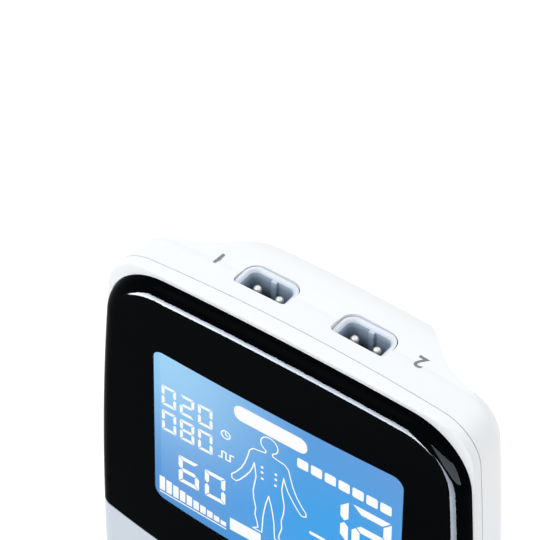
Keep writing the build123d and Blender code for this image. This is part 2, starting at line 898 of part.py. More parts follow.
# ---- belt clip ----
def belt_clip():
    """The belt clip: a sprung plate with a bent lip, a thumb pad and two lugs on its pin."""
    pin_y, pin_z = clip_axis()
    inner = hump_depth + clip_gap
    outer = inner + clip_thickness
    high = pin_z + clip_pad_length
    lip_z = door_axis()[1] + clip_above_door
    lip_y = hump_depth + clip_lip_gap
    bend = lip_z + clip_lip_height / 2 + clip_bend
    tail = lip_z - clip_lip_height / 2 - clip_flare
    strip = clip_thickness
    profile = polygon(
        (inner, high), (outer, high), (outer, bend - clip_bend_step),
        (lip_y + strip, lip_z), (lip_y + strip + clip_flare_rise, tail + strip / 2),
        (lip_y + clip_flare_rise, tail),
        (lip_y, lip_z - clip_lip_height / 2), (lip_y, lip_z + clip_lip_height / 2), (inner, bend))
    plan_low = tail - strip
    plan_height = high - plan_low
    plan = RectangleRounded(2 * clip_half_width, plan_height, clip_corner_radius)
    plan = Pos(0, plan_low + plan_height / 2) * plan
    clip = sideways(profile, clip_half_width) & across(plan, hump_depth, outer + strip)
    middle = (clip_lug_inner + clip_lug_outer) / 2
    lug_half = (clip_lug_outer - clip_lug_inner) / 2
    web = polygon((pin_y, pin_z - clip_lug_radius), (pin_y, pin_z + clip_lug_radius),
                  (inner + strip / 2, pin_z + clip_lug_radius), (inner + strip / 2, pin_z - clip_lug_radius))
    for side in (1, -1):
        lug = sideways(Pos(pin_y, pin_z) * Circle(clip_lug_radius), lug_half, side * middle)
        clip += lug + sideways(web, lug_half, side * middle)
    return clip - rod_x(clip_pin_radius + clip_pin_fit, -clip_half_width, clip_half_width, pin_y, pin_z)


def clip_pin():
    """The clip's hinge pin, held in the ears."""
    reach = clip_lug_outer + clip_side_gap + ear_width
    return rod_x(clip_pin_radius, -reach, reach, *clip_axis())


def clip_spring():
    """The torsion spring between the clip's lugs."""
    y, z = clip_axis()
    width = 2 * (clip_lug_inner - clip_side_gap - clip_spring_wire)
    path = Helix(width / clip_spring_turns, width, clip_spring_radius)
    wire = Plane(origin=path @ 0, z_dir=path % 0) * Circle(clip_spring_wire)
    return Pos(-width / 2, y, z) * Rot(0, 90, 0) * sweep(wire, path=path)


# ---- fasteners ----
def case_screws():
    """The screws that close the case, from the back."""
    screws = []
    for x, z in screw_places():
        head = rod_y(screw_head_radius, screw_seat, screw_seat + screw_head_height, x, z)
        slot = Pos(x, screw_seat + screw_head_height, z)
        for width, height in ((driver_slot, driver_slot_length), (driver_slot_length, driver_slot)):
            head -= slot * Box(width, screw_head_height, height)
        screws.append(head + rod_y(screw_radius, screw_seat - screw_length, screw_seat, x, z))
    return screws


def board_screws():
    """The small screws that hold the board to the front shell's ledge."""
    screws = []
    back = board_thickness
    for x, z in board_screw_places():
        head = rod_y(board_screw_head_radius, back, back + board_screw_head_height, x, z)
        screws.append(head + rod_y(board_screw_radius, back - board_screw_length, back, x, z))
    return screws


# ---- the whole unit ----
blank = face_blank()
save("front_shell", front_shell())
save("rear_shell", rear_shell())
save("display_lens", display_lens(blank))
save("display_window", display_window())
save("keypad_plate", keypad_plate(blank))
for name, place in key_places().items():
    save(name, key(*place))
save("keypad_mat", keypad_mat())
save("snap_domes", *snap_domes())
save("lcd_glass", lcd_glass())
save("lcd_backlight", lcd_backlight())
save("lcd_holder", lcd_holder())
save("zebra_strip", zebra_strip())
save("main_board", main_board())
save("controller_chip", on_board(chip_size, 0, case_height - chip_drop))
save("driver_chips", *driver_chips())
save("capacitors", *capacitors())
save("buzzer", buzzer())
for channel, side in ((1, -1), (2, 1)):
    save(f"lead_socket_{channel}", lead_socket(side))
    save(f"socket_pins_{channel}", *socket_pins(side))
    save(f"output_transformer_{channel}", transformer(side))
for number, place in enumerate(cell_places(), start=1):
    save(f"battery_cell_{number}", cell(*place))
save("battery_contacts", *battery_contacts())
save("battery_springs", *battery_springs())
save("battery_door", battery_door())
save("belt_clip", belt_clip())
save("clip_pin", clip_pin())
save("clip_spring", clip_spring())
save("case_screws", *case_screws())
save("board_screws", *board_screws())
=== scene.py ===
"""Dresses the two-channel nerve stimulator and lights it.

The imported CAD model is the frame. Each sub-assembly is a class that gives its CAD nodes their
finishes and adds what is finer than the CAD: printed marks, the figures of the display, grips
and the small parts of the circuit board. Lengths in the classes are millimetres.
"""
import functools
import logging
import math
from dataclasses import dataclass, field
from enum import Enum
from typing import Any, Iterable, Sequence

import bmesh
import bpy
from mathutils import Matrix, Vector
from mathutils.bvhtree import BVHTree


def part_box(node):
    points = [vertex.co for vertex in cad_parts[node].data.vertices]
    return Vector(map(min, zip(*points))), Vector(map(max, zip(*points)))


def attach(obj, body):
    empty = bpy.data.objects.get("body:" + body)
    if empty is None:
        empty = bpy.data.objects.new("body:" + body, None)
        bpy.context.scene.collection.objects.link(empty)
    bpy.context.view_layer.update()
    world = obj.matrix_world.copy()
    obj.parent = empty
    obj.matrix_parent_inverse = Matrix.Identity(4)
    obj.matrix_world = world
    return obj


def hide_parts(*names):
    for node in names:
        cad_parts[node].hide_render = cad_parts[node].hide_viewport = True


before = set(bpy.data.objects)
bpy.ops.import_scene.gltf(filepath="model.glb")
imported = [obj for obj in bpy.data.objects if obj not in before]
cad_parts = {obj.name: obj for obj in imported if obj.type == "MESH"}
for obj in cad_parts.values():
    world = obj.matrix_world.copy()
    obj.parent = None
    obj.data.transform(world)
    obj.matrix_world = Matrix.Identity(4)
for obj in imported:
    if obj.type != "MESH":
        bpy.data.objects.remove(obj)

MM = 0.001
# How far printed ink stands on a moulded surface, in millimetres.
INK_LIFT = 0.02
CASE_BODY = "case"
Point = tuple[float, float]
Place = tuple[float, float, float]
Tree = bpy.types.NodeTree
Socket = bpy.types.NodeSocket
Material = bpy.types.Material
Mesh = bpy.types.Mesh
# Colours laid over a surface: how much of each shows, and its sRGB hex.
Tints = list[tuple[Socket, str]]

log = logging.getLogger("stimulator")


class Slot(Enum):
    """The record's material slots."""

    SHELL = "white_shell"
    DISPLAY = "display_glass"
    CHIPS = "chips"


class Icon(Enum):
    """The plain signs printed on the keys."""

    LIST = "list"
    POWER = "power"
    TICK = "tick"
    PLUS = "plus"
    MINUS = "minus"
    UP = "up"
    DOWN = "down"


# ---- node trees ----
def srgb(code: str) -> tuple[float, float, float, float]:
    """Turn a colour to linear light.

    Args:
        code: sRGB hex, such as "#F4F6F8".

    Returns:
        Red, green, blue and an alpha of 1.
    """
    channels = [int(code[i:i + 2], 16) / 255 for i in (1, 3, 5)]
    linear = [c / 12.92 if c <= 0.04045 else ((c + 0.055) / 1.055) ** 2.4 for c in channels]
    return (linear[0], linear[1], linear[2], 1.0)


def add_node(tree: Tree, kind: str, inputs: dict[str | int, Any] | None = None, output: str | int = 0,
             **settings: Any) -> Socket | None:
    """Add one node with its settings and links.

    Args:
        tree: The tree that gets the node.
        kind: The node's type.
        inputs: Input name or number to a value, or to the output that feeds it.
        output: Name or number of the output to hand back.
        settings: The node's own properties.

    Returns:
        That output, or None from a node without outputs.
    """
    node = tree.nodes.new(kind)
    for name, value in settings.items():
        setattr(node, name, value)
    for name, value in (inputs or {}).items():
        if isinstance(value, bpy.types.NodeSocket):
            tree.links.new(value, node.inputs[name])
        else:
            node.inputs[name].default_value = value
    return node.outputs[output] if node.outputs else None


def compute(tree: Tree, operation: str, first: Any, second: Any = 0.0) -> Socket:
    """The result of one operation on numbers or outputs."""
    return add_node(tree, "ShaderNodeMath", {0: first, 1: second}, operation=operation)


def blend(tree: Tree, share: Socket, first: Any, second: Any) -> Socket:
    """A mix of two colours, all of the second where the share is 1."""
    return add_node(tree, "ShaderNodeMix", {0: share, 6: first, 7: second}, output=2, data_type="RGBA")


def remap(tree: Tree, value: Socket, source: tuple[Any, Any], target: tuple[Any, Any] = (0.0, 1.0),
          kind: str = "LINEAR") -> Socket:
    """Carry a value from one range to another.

    Args:
        tree: The tree.
        value: The value.
        source: The range it comes from.
        target: The range it goes to.
        kind: The node's way of going between the two.

    Returns:
        The new value.
    """
    return add_node(tree, "ShaderNodeMapRange", {
        "Value": value, "From Min": source[0], "From Max": source[1],
        "To Min": target[0], "To Max": target[1]}, interpolation_type=kind)


def coordinate(tree: Tree, where: Socket, axis: str) -> Socket:
    """One coordinate of a place."""
    return add_node(tree, "ShaderNodeSeparateXYZ", {0: where}, output=axis)


def empty_tree(holder: Material | bpy.types.World) -> Tree:
    """Clear what Blender puts in a new node tree.

    Args:
        holder: The material or world.

    Returns:
        Its tree.
    """
    holder.use_nodes = True
    holder.node_tree.nodes.clear()
    return holder.node_tree


# ---- objects and meshes ----
def node_object(name: str) -> bpy.types.Object:
    """The object of a CAD node."""
    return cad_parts[name]


def box_mm(name: str) -> tuple[Vector, Vector]:
    """A CAD node's lowest and highest corner, in millimetres."""
    low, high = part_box(name)
    return low / MM, high / MM


def in_scene(name: str, data: Any) -> bpy.types.Object:
    """Put new data in the scene.

    Args:
        name: The object's name.
        data: Its mesh, curve, light or camera.

    Returns:
        The object.
    """
    thing = bpy.data.objects.new(name, data)
    bpy.context.scene.collection.objects.link(thing)
    return thing


def kept_mesh(thing: bpy.types.Object) -> Mesh:
    """Turn an object to a plain mesh.

    Args:
        thing: The object, which goes from the scene.

    Returns:
        Its shape with all modifiers.
    """
    bpy.context.view_layer.update()
    mesh = bpy.data.meshes.new_from_object(thing.evaluated_get(bpy.context.evaluated_depsgraph_get()))
    bpy.data.objects.remove(thing)
    return mesh


def add_piece(name: str, mesh: Mesh, body: str, slot: Slot | None = None) -> bpy.types.Object:
    """Put a finished mesh in the scene, riding on a CAD body.

    Args:
        name: The piece's name.
        mesh: Its mesh, already in place and in metres.
        body: The CAD body it moves with.
        slot: The record's slot; not used.

    Returns:
        The piece.
    """
    piece = in_scene(name, mesh)
    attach(piece, body)
    log.info("%s: %d faces on %s", name, len(mesh.polygons), body)
    return piece


def settle(mesh: Mesh, *places: Matrix) -> None:
    """Move a mesh from millimetres to its place in the model, in metres.

    Args:
        mesh: The mesh.
        places: The moves in millimetres, of which the last comes first.
    """
    whole = Matrix.Scale(MM, 4)
    for place in places:
        whole = whole @ place
    mesh.transform(whole)


def lay_on(mesh: Mesh, node: str, along: Vector) -> None:
    """Lay a mesh on the surface of a CAD node, an ink's lift above it.

    Args:
        mesh: The mesh, in metres, before the surface or just on it.
        node: The CAD node.
        along: The direction in which each point goes to meet it.
    """
    base = node_object(node).data
    surface = BVHTree.FromPolygons([v.co for v in base.vertices], [p.vertices for p in base.polygons])
    # Each ray starts a little before its point.
    run_up = 10 * MM
    for vertex in mesh.vertices:
        hit, normal, _, _ = surface.ray_cast(vertex.co - along * run_up, along)
        if hit:
            vertex.co = hit + normal * INK_LIFT * MM


def facing_front(y: float) -> Matrix:
    """Place a drawing on a plane that faces the front, at a depth in millimetres."""
    return Matrix(((1, 0, 0, 0), (0, 0, -1, y), (0, 1, 0, 0), (0, 0, 0, 1)))


def facing_back(y: float) -> Matrix:
    """Place a drawing on a plane that faces the back, at a depth in millimetres."""
    return Matrix(((-1, 0, 0, 0), (0, 0, 1, y), (0, 1, 0, 0), (0, 0, 0, 1)))


class Drawing:
    """A flat drawing of filled shapes, in millimetres, that becomes one mesh."""

    def __init__(self) -> None:
        """Start with nothing drawn."""
        self.sheet = bmesh.new()

    @staticmethod
    def around(centre: Point, radius: float, angles: Iterable[float]) -> list[Point]:
        """Points round a centre, at angles in degrees."""
        x, y = centre
        return [(x + radius * math.cos(a), y + radius * math.sin(a)) for a in map(math.radians, angles)]

    def fill(self, points: Sequence[Point]) -> None:
        """Fill a convex outline.

        Args:
            points: Its corners, either way round.
        """
        area = sum(a[0] * b[1] - b[0] * a[1] for a, b in zip(points, [*points[1:], points[0]]))
        ordered = points if area > 0 else list(reversed(points))
        self.sheet.faces.new([self.sheet.verts.new((x, y, 0.0)) for x, y in ordered])

    def disc(self, centre: Point, radius: float) -> None:
        """Fill a round spot."""
        sides = 12
        self.fill(self.around(centre, radius, (360 * i / sides for i in range(sides))))

    def line(self, points: Sequence[Point], width: float, closed: bool = False) -> None:
        """Draw a line of even width with round ends and bends.

        Args:
            points: The points it passes.
            width: Its width.
            closed: Whether it returns to its first point.
        """
        path = [*points, points[0]] if closed else list(points)
        for (ax, ay), (bx, by) in zip(path, path[1:]):
            length = math.hypot(bx - ax, by - ay)
            nx, ny = (ay - by) / length * width / 2, (bx - ax) / length * width / 2
            self.fill([(ax + nx, ay + ny), (ax - nx, ay - ny), (bx - nx, by - ny), (bx + nx, by + ny)])
        for point in path:
            self.disc(point, width / 2)

    def arc(self, centre: Point, radius: float, start: float, end: float, width: float) -> None:
        """Draw an arc.

        Args:
            centre: Its centre.
            radius: Its radius.
            start: The angle where it starts, in degrees.
            end: The angle where it ends.
            width: Width of its line.
        """
        fewest, degrees = 6, 8
        steps = max(fewest, int(abs(end - start) / degrees))
        angles = (start + (end - start) * i / steps for i in range(steps + 1))
        self.line(self.around(centre, radius, angles), width)

    def blocks(self, low: Point, size: Point, radius: float, count: int, pitch: float) -> None:
        """Fill boxes with round corners, side by side.

        Args:
            low: Lower left corner of the first box.
            size: Width and height of a box.
            radius: Radius of its corners.
            count: Number of boxes.
            pitch: From one box to the next.
        """
        steps = 6
        bottom, top = low[1] + radius, low[1] + size[1] - radius
        for index in range(count):
            left, right = low[0] + index * pitch + radius, low[0] + index * pitch + size[0] - radius
            corners = ((right, top), (left, top), (left, bottom), (right, bottom))
            self.fill([point for quarter, corner in enumerate(corners) for point in self.around(
                corner, radius, (90 * (quarter + step / steps) for step in range(steps + 1)))])

    def mesh(self, name: str, place: Matrix, material: Material) -> Mesh:
        """Finish the drawing.

        Args:
            name: The mesh's name.
            place: From the drawing's plane to the model, in millimetres.
            material: Its material.

        Returns:
            The mesh, in metres.
        """
        mesh = bpy.data.meshes.new(name)
        self.sheet.to_mesh(mesh)
        self.sheet.free()
        settle(mesh, place)
        mesh.materials.append(material)
        return mesh


def number_mesh(text: str, height: float, weight: float, material: Material) -> Mesh:
    """Make a flat number, centred on its own origin.

    Args:
        text: The number.
        height: The height of its figures in millimetres.
        weight: How far its outline is moved out, as a share of its size.
        material: Its material.

    Returns:
        The mesh, in millimetres.
    """
    curve = bpy.data.curves.new("number", "FONT")
    curve.body = text
    curve.offset = weight
    mesh = kept_mesh(in_scene("number", curve))
    low, high = (Vector(pick(v.co[i] for v in mesh.vertices) for i in range(3)) for pick in (min, max))
    scale = height / (high.y - low.y)
    mesh.transform(Matrix.Scale(scale, 4) @ Matrix.Translation(-(low + high) / 2))
    mesh.materials.append(material)
    return mesh


class ShapeTree:
    """A geometry tree with named inputs whose result becomes a plain mesh."""

    KINDS = {int: "NodeSocketInt", float: "NodeSocketFloat", tuple: "NodeSocketVector",
             Material: "NodeSocketMaterial"}

    def __init__(self, name: str, values: dict[str, Any]) -> None:
        """Start the tree.

        Args:
            name: Its name, and the mesh's.
            values: Input name to value, whose type sets the kind of input.
        """
        self.name = name
        self.values = values
        self.tree = bpy.data.node_groups.new(name, "GeometryNodeTree")
        for label, value in values.items():
            self.tree.interface.new_socket(label, in_out="INPUT", socket_type=self.KINDS[type(value)])
        self.tree.interface.new_socket("Geometry", in_out="OUTPUT", socket_type="NodeSocketGeometry")
        self.given = self.tree.nodes.new("NodeGroupInput").outputs

    def add(self, kind: str, inputs: dict[str | int, Any] | None = None, **settings: Any) -> Socket:
        """Add a geometry node and hand back its first output."""
        return add_node(self.tree, f"GeometryNode{kind}", inputs, **settings)

    def compute(self, operation: str, first: Any, second: Any) -> Socket:
        """The result of one operation on numbers or outputs."""
        return compute(self.tree, operation, first, second)

    def vector(self, parts: dict[int, Any]) -> Socket:
        """A vector from its parts by axis number; the others are 0."""
        return add_node(self.tree, "ShaderNodeCombineXYZ", parts)

    def mesh(self, points: Socket, instance: Socket, scale: Any = (1.0, 1.0, 1.0),
             material: str = "") -> Mesh:
        """End the tree with an instance on each point and run it.

        Args:
            points: Where the instances go.
            instance: What stands there.
            scale: The size of each.
            material: Input that holds their material; none where the instance has its own.

        Returns:
            The mesh.
        """
        placed = self.add("InstanceOnPoints", {"Points": points, "Instance": instance, "Scale": scale})
        done = self.add("RealizeInstances", {"Geometry": placed})
        if material:
            done = self.add("SetMaterial", {"Geometry": done, "Material": self.given[material]})
        add_node(self.tree, "NodeGroupOutput", {"Geometry": done})
        holder = in_scene(self.name, bpy.data.meshes.new(self.name))
        modifier = holder.modifiers.new("shape", "NODES")
        modifier.node_group = self.tree
        for item in self.tree.interface.items_tree:
            if item.name in self.values:
                modifier[item.identifier] = self.values[item.name]
        mesh = kept_mesh(holder)
        mesh.name = self.name
        return mesh


def rib_mesh(name: str, count: int, pitch: float, length: float, radius: float, material: Material) -> Mesh:
    """Round ribs along X, one above the other, from the origin up.

    Args:
        name: The mesh's name.
        count: Number of ribs.
        pitch: From one rib to the next.
        length: Length of a rib.
        radius: Its radius.
        material: Its material.

    Returns:
        The mesh, in millimetres.
    """
    sides = 24
    shape = ShapeTree(name, {"Count": count, "Pitch": pitch, "Half Length": length / 2, "Radius": radius,
                             "Material": material})
    line = shape.add("MeshLine", {"Count": shape.given["Count"],
                                  "Offset": shape.vector({2: shape.given["Pitch"]})}, mode="OFFSET")
    ends = [shape.vector({0: shape.compute("MULTIPLY", shape.given["Half Length"], sign)})
            for sign in (-1.0, 1.0)]
    axis = shape.add("CurvePrimitiveLine", {"Start": ends[0], "End": ends[1]})
    ring = shape.add("CurvePrimitiveCircle", {"Resolution": sides, "Radius": shape.given["Radius"]})
    rod = shape.add("CurveToMesh", {"Curve": axis, "Profile Curve": ring, "Fill Caps": True})
    return shape.mesh(line, rod, material="Material")


# ---- finishes ----
@dataclass(frozen=True)
class Finish:
    """A solid surface with a fine texture and a slow drift of colour."""

    name: str
    # sRGB hex of the surface.
    colour: str
    # sRGB hex that the colour drifts to.
    drift: str
    roughness: float
    # How far its roughness varies either way.
    unevenness: float = 0.04
    # 1 for bare metal.
    metallic: float = 0.0
    specular: float = 0.5
    # Size of its texture in millimetres.
    grain: float = 0.3
    # Depth of its texture in millimetres.
    depth: float = 0.004
    # Size of the patches in which the colour drifts, in millimetres.
    patch: float = 12.0

    def drift_share(self, tree: Tree, where: Socket) -> Socket:
        """How much of the second colour shows: in slow patches, unless a finish has its own way."""
        return add_node(tree, "ShaderNodeTexNoise", {"Vector": where, "Scale": 1 / (self.patch * MM),
                                                     "Detail": 3.0})

    def tints(self, tree: Tree, where: Socket) -> Tints:
        """What a kind of finish lays over its first two colours."""
        return []

    def surface_colour(self, tree: Tree, where: Socket) -> Socket:
        """Lay all colours over each other.

        Args:
            tree: The material's tree.
            where: The place on the object.

        Returns:
            The colour there.
        """
        colour: Any = srgb(self.colour)
        for share, code in [(self.drift_share(tree, where), self.drift), *self.tints(tree, where)]:
            colour = blend(tree, share, colour, srgb(code))
        return colour

    def shading(self, tree: Tree, where: Socket) -> dict[str, Any]:
        """What the finish sets on its shader.

        Args:
            tree: The material's tree.
            where: The place on the object.

        Returns:
            Input name to value or output.
        """
        height = add_node(tree, "ShaderNodeTexNoise", {"Vector": where, "Scale": 1 / (self.grain * MM),
                                                       "Detail": 2.0})
        bump = add_node(tree, "ShaderNodeBump", {"Height": height, "Distance": self.depth * MM})
        rough = remap(tree, height, (0.0, 1.0),
                      (self.roughness - self.unevenness, self.roughness + self.unevenness))
        return {"Base Color": self.surface_colour(tree, where), "Roughness": rough, "Normal": bump,
                "Metallic": self.metallic, "Specular IOR Level": self.specular}

    @functools.cache
    def material(self) -> Material:
        """Build the material once.

        Returns:
            The material.
        """
        material = bpy.data.materials.new(self.name)
        tree = empty_tree(material)
        where = add_node(tree, "ShaderNodeTexCoord", output="Object")
        shader = add_node(tree, "ShaderNodeBsdfPrincipled", self.shading(tree, where))
        add_node(tree, "ShaderNodeOutputMaterial", {"Surface": shader})
        return material

    def dress(self, *names: str) -> None:
        """Give every slot of CAD nodes the material.

        Args:
            names: The nodes.
        """
        for name in names:
            for slot in node_object(name).material_slots:
                slot.material = self.material()
            log.info("%s: %s", name, self.name)


@dataclass(frozen=True)
class PaintedDepthShadeFinish(Finish):
    """A surface down in an opening, pale at its rim and painted darker below as painted shade, where little
    light gets to.
    """

    # Height of its rim, in millimetres.
    rim: float = 131.0
    # Where each painted shade sets in and is full, in millimetres below the rim, and its sRGB hex.
    painted_shades: tuple[tuple[float, float, str], ...] = (
        (0.0, 0.25, "#C9D6E4"), (0.25, 1.6, "#93A5B8"), (1.6, 5.0, "#475668"))

    def tints(self, tree: Tree, where: Socket) -> Tints:
        """The painted shades, darker one after the other going down."""
        z = coordinate(tree, where, "Z")
        return [(remap(tree, z, ((self.rim - top) * MM, (self.rim - low) * MM), kind="SMOOTHSTEP"), code)
                for top, low, code in self.painted_shades]


@dataclass(frozen=True)
class ClearPane(Finish):
    """A clear pane that lets what lies behind it show undistorted."""

    # How much of what lies behind it is hidden.
    cover: float = 0.05

    def shading(self, tree: Tree, where: Socket) -> dict[str, Any]:
        """Mostly see-through."""
        return {**super().shading(tree, where), "Alpha": self.cover}


@dataclass(frozen=True)
class LitFigure(Finish):
    """The figures of the display, where the light behind it comes through."""

    # sRGB hex of the surface without its light.
    unlit: str = "#202428"
    strength: float = 1.05

    def shading(self, tree: Tree, where: Socket) -> dict[str, Any]:
        """Its own light, faintly uneven, with little of its surroundings in it."""
        return {"Base Color": srgb(self.unlit), "Roughness": self.roughness,
                "Specular IOR Level": self.specular, "Emission Strength": self.strength,
                "Emission Color": self.surface_colour(tree, where)}


@dataclass(frozen=True)
class DisplayGlow(LitFigure):
    """A lit blue display: deep in the middle, drifting to its rim, palest at its upper left corner."""

    # sRGB hex at the upper left corner.
    corner: str = "#9ED4FA"
    # Where the deepest blue lies, in millimetres.
    deep_at: Place = (9.0, -3.1, 97.0)
    # Where the palest blue lies, in millimetres.
    corner_at: Place = (-20.0, -3.1, 118.0)
    # How far the deepest blue reaches.
    middle_size: float = 3.0
    # How far from the deepest blue the rim's colour is full, and how far the palest reaches.
    reach: float = 27.0

    def nearness(self, tree: Tree, where: Socket, place: Place, start: float, end: float) -> Socket:
        """A share that goes from 0 to 1 between two distances from a place."""
        apart = add_node(tree, "ShaderNodeVectorMath", {0: where, 1: [c * MM for c in place]},
                         output="Value", operation="DISTANCE")
        return remap(tree, apart, (start * MM, end * MM), kind="SMOOTHSTEP")

    def drift_share(self, tree: Tree, where: Socket) -> Socket:
        """The rim's colour, more of it farther from the deepest blue."""
        return self.nearness(tree, where, self.deep_at, self.middle_size, self.reach)

    def tints(self, tree: Tree, where: Socket) -> Tints:
        """The corner's colour, most of it at its middle."""
        return [(self.nearness(tree, where, self.corner_at, self.reach, 0.0), self.corner)]


@dataclass(frozen=True)
class CellWrap(Finish):
    """The printed film of a cell, with a second colour at one end and bare metal at both."""

    # sRGB hex of the second colour.
    second: str = "#C8A24A"
    # sRGB hex of the bare ends.
    metal: str = "#C9CCD0"
    # The film's lower and upper edge, in millimetres up the case.
    film: Point = (0.0, 0.0)
    # Where the second colour starts and ends.
    band: Point = (0.0, 0.0)

    def zone(self, tree: Tree, where: Socket, ends: Point, side: str) -> Socket:
        """1 between two heights (LESS_THAN) or beyond them (GREATER_THAN), else 0."""
        away = compute(tree, "SUBTRACT", coordinate(tree, where, "Z"), sum(ends) / 2 * MM)
        return compute(tree, side, compute(tree, "ABSOLUTE", away), (ends[1] - ends[0]) / 2 * MM)

    def tints(self, tree: Tree, where: Socket) -> Tints:
        """The second colour in its band and the metal beyond the film."""
        return [(self.zone(tree, where, self.band, "LESS_THAN"), self.second),
                (self.zone(tree, where, self.film, "GREATER_THAN"), self.metal)]


@dataclass(frozen=True)
class LayeredStack(Finish):
    """Thin sheets stacked along X, such as a transformer's core or a layered contact strip."""

    # Thickness of one sheet in millimetres.
    sheet: float = 0.5
    # How much of a wave's height the change from one sheet to the next takes, either way.
    edge: float = 0.3

    def drift_share(self, tree: Tree, where: Socket) -> Socket:
        """The two colours in turn."""
        turns = compute(tree, "MULTIPLY", coordinate(tree, where, "X"), math.pi / (self.sheet * MM))
        return remap(tree, compute(tree, "SINE", turns), (-self.edge, self.edge))


@dataclass(frozen=True)
class TracedBoard(Finish):
    """Green solder mask over copper traces."""

    # From one trace to the next, in millimetres.
    pitch: float = 2.4
    # Width of a trace in millimetres.
    width: float = 0.3

    def drift_share(self, tree: Tree, where: Socket) -> Socket:
        """The paler colour where a trace runs under the mask."""
        apart = add_node(tree, "ShaderNodeTexVoronoi", {
            "Vector": where, "Scale": 1 / (self.pitch * MM), "Randomness": 0.4},
            feature="DISTANCE_TO_EDGE", distance="CHEBYCHEV")
        return compute(tree, "LESS_THAN", apart, self.width / self.pitch / 2)


# Moulded ABS, spark-eroded tool: an even satin white whose fine texture softens highlights.
WHITE_ABS = Finish("moulded_white_abs", "#F5F7F9", "#F1F4F7", roughness=0.36, grain=0.35, depth=0.003,
                   patch=25)
# Polished acrylic over black print: deep black with sharp, narrow highlights.
BLACK_ACRYLIC = Finish("polished_black_acrylic", "#030406", "#040507", roughness=0.05, unevenness=0.01,
                       specular=0.005, grain=4, depth=0.0002)
# Clear acrylic with a hard coat: only its highlights show.
CLEAR_ACRYLIC = ClearPane("clear_acrylic", "#0C1826", "#0E1B2A", roughness=0.04, unevenness=0.01, grain=4,
                          depth=0.001)
# Sprayed silver lacquer on plastic: pale blue-grey with a faint sparkle of flakes 0.1 mm across.
SILVER_LACQUER = Finish("sprayed_silver_lacquer", "#CCD5DF", "#C3CCD7", roughness=0.4, unevenness=0.08,
                        metallic=0.2, grain=0.1, depth=0.001, patch=0.25)
# Moulded key plastic, soft-touch: dark blue-grey, nearly without highlights.
KEY_PLASTIC = Finish("soft_touch_key_plastic", "#46525F", "#4C5865", roughness=0.5, grain=0.25, depth=0.003)
# Pressed silicone: milky and dull.
SILICONE = Finish("pressed_silicone", "#C9CCD1", "#BFC3C9", roughness=0.65, grain=0.6)
# Zinc-plated steel, turned and rolled: bright grey with a soft sheen.
ZINC_STEEL = Finish("zinc_plated_steel", "#B9BCC2", "#A8ACB3", roughness=0.28, metallic=1.0, grain=0.5,
                    depth=0.002)
# Drawn spring wire: darker, with draw marks.
SPRING_WIRE = Finish("drawn_spring_wire", "#8F9297", "#7D8085", roughness=0.3, metallic=1.0, grain=0.2,
                     depth=0.003)
# Nickel plate on turned brass: bright domed tips; below the rim the stems are painted darker beige-grey, a
# painted shade.
PIN_PLATING = PaintedDepthShadeFinish("nickel_plated_brass", "#F6F4F0", "#EFECE6", roughness=0.22, metallic=0.55,
                         grain=0.8, depth=0.001, rim=129.5,
                         painted_shades=((0.0, 0.7, "#C9BFAE"), (0.7, 4.0, "#8C8478")))
# Stamped nickel strip: even grey, rolled to a dull shine.
NICKEL_STRIP = Finish("stamped_nickel_strip", "#BFBFC0", "#B0B1B3", roughness=0.32, metallic=1.0,
                      grain=0.15, depth=0.002)
# Epoxy-glass laminate under solder mask: dark green with paler traces.
SOLDER_MASK = TracedBoard("green_solder_mask", "#0F4A2A", "#1F6B3F", roughness=0.3, grain=0.4, depth=0.003)
# Transfer-moulded epoxy: near black and dull.
CHIP_EPOXY = Finish("moulded_chip_epoxy", "#1B1C1F", "#222428", roughness=0.55, grain=0.12)
# Display glass, lit from behind: a clear blue that pales to one corner.
DISPLAY_BLUE = DisplayGlow("lit_blue_display", "#2A9FEA", "#5A9ADC", roughness=0.1, specular=0.2,
                           unlit="#060A10", strength=1.03)
# The display's figures: white light through clear segments.
DISPLAY_WHITE = LitFigure("lit_display_figures", "#FFFFFF", "#FAFDFF", roughness=0.3, specular=0.1)
# Polished acrylic light guide: pale and smooth.
LIGHT_GUIDE = Finish("acrylic_light_guide", "#E8EDF2", "#DDE5EE", roughness=0.2, grain=1.0, depth=0.002)
# Moulded pale plastic: an even matt grey.
HOLDER_PLASTIC = Finish("moulded_pale_holder", "#D4D8DC", "#CBD0D5", roughness=0.45, depth=0.003)
# Layers of conducting and plain silicone, 0.2 mm each: fine dark stripes.
LAYERED_SILICONE = LayeredStack("layered_silicone", "#D9A9A4", "#3A3234", roughness=0.7, sheet=0.2)
# Moulded polycarbonate: a pale blue-white lip with a slight gloss, painted darker to slate down inside as
# painted shade.
SOCKET_PLASTIC = PaintedDepthShadeFinish("moulded_socket_plastic", "#E6ECF5", "#E1E9F3", roughness=0.3, grain=0.4,
                            depth=0.002)
# Varnished laminations, 0.5 mm each: dark steel stripes.
CORE_STEEL = LayeredStack("varnished_core_steel", "#5A5C61", "#2C2D31", roughness=0.4, metallic=0.6)
# Shrunk sleeve on an aluminium can: dark blue with a slight gloss.
CAN_SLEEVE = Finish("shrunk_can_sleeve", "#2A3A5C", "#24334F", roughness=0.35, grain=0.5, depth=0.003)
# Pad-printed ink: flat grey.
GREY_INK = Finish("grey_pad_print", "#7C7C7E", "#858587", roughness=0.6, grain=0.1, depth=0.001, patch=0.6)
# Pad-printed ink: flat white.
WHITE_INK = Finish("white_pad_print", "#F2F4F6", "#E9ECEF", roughness=0.6, grain=0.1, depth=0.001, patch=0.6)
# Tin-plated ends of small board parts: bright grey.
TIN = Finish("tin_plated_ends", "#C6C8CC", "#B7BABF", roughness=0.3, metallic=1.0, grain=0.1, depth=0.002)


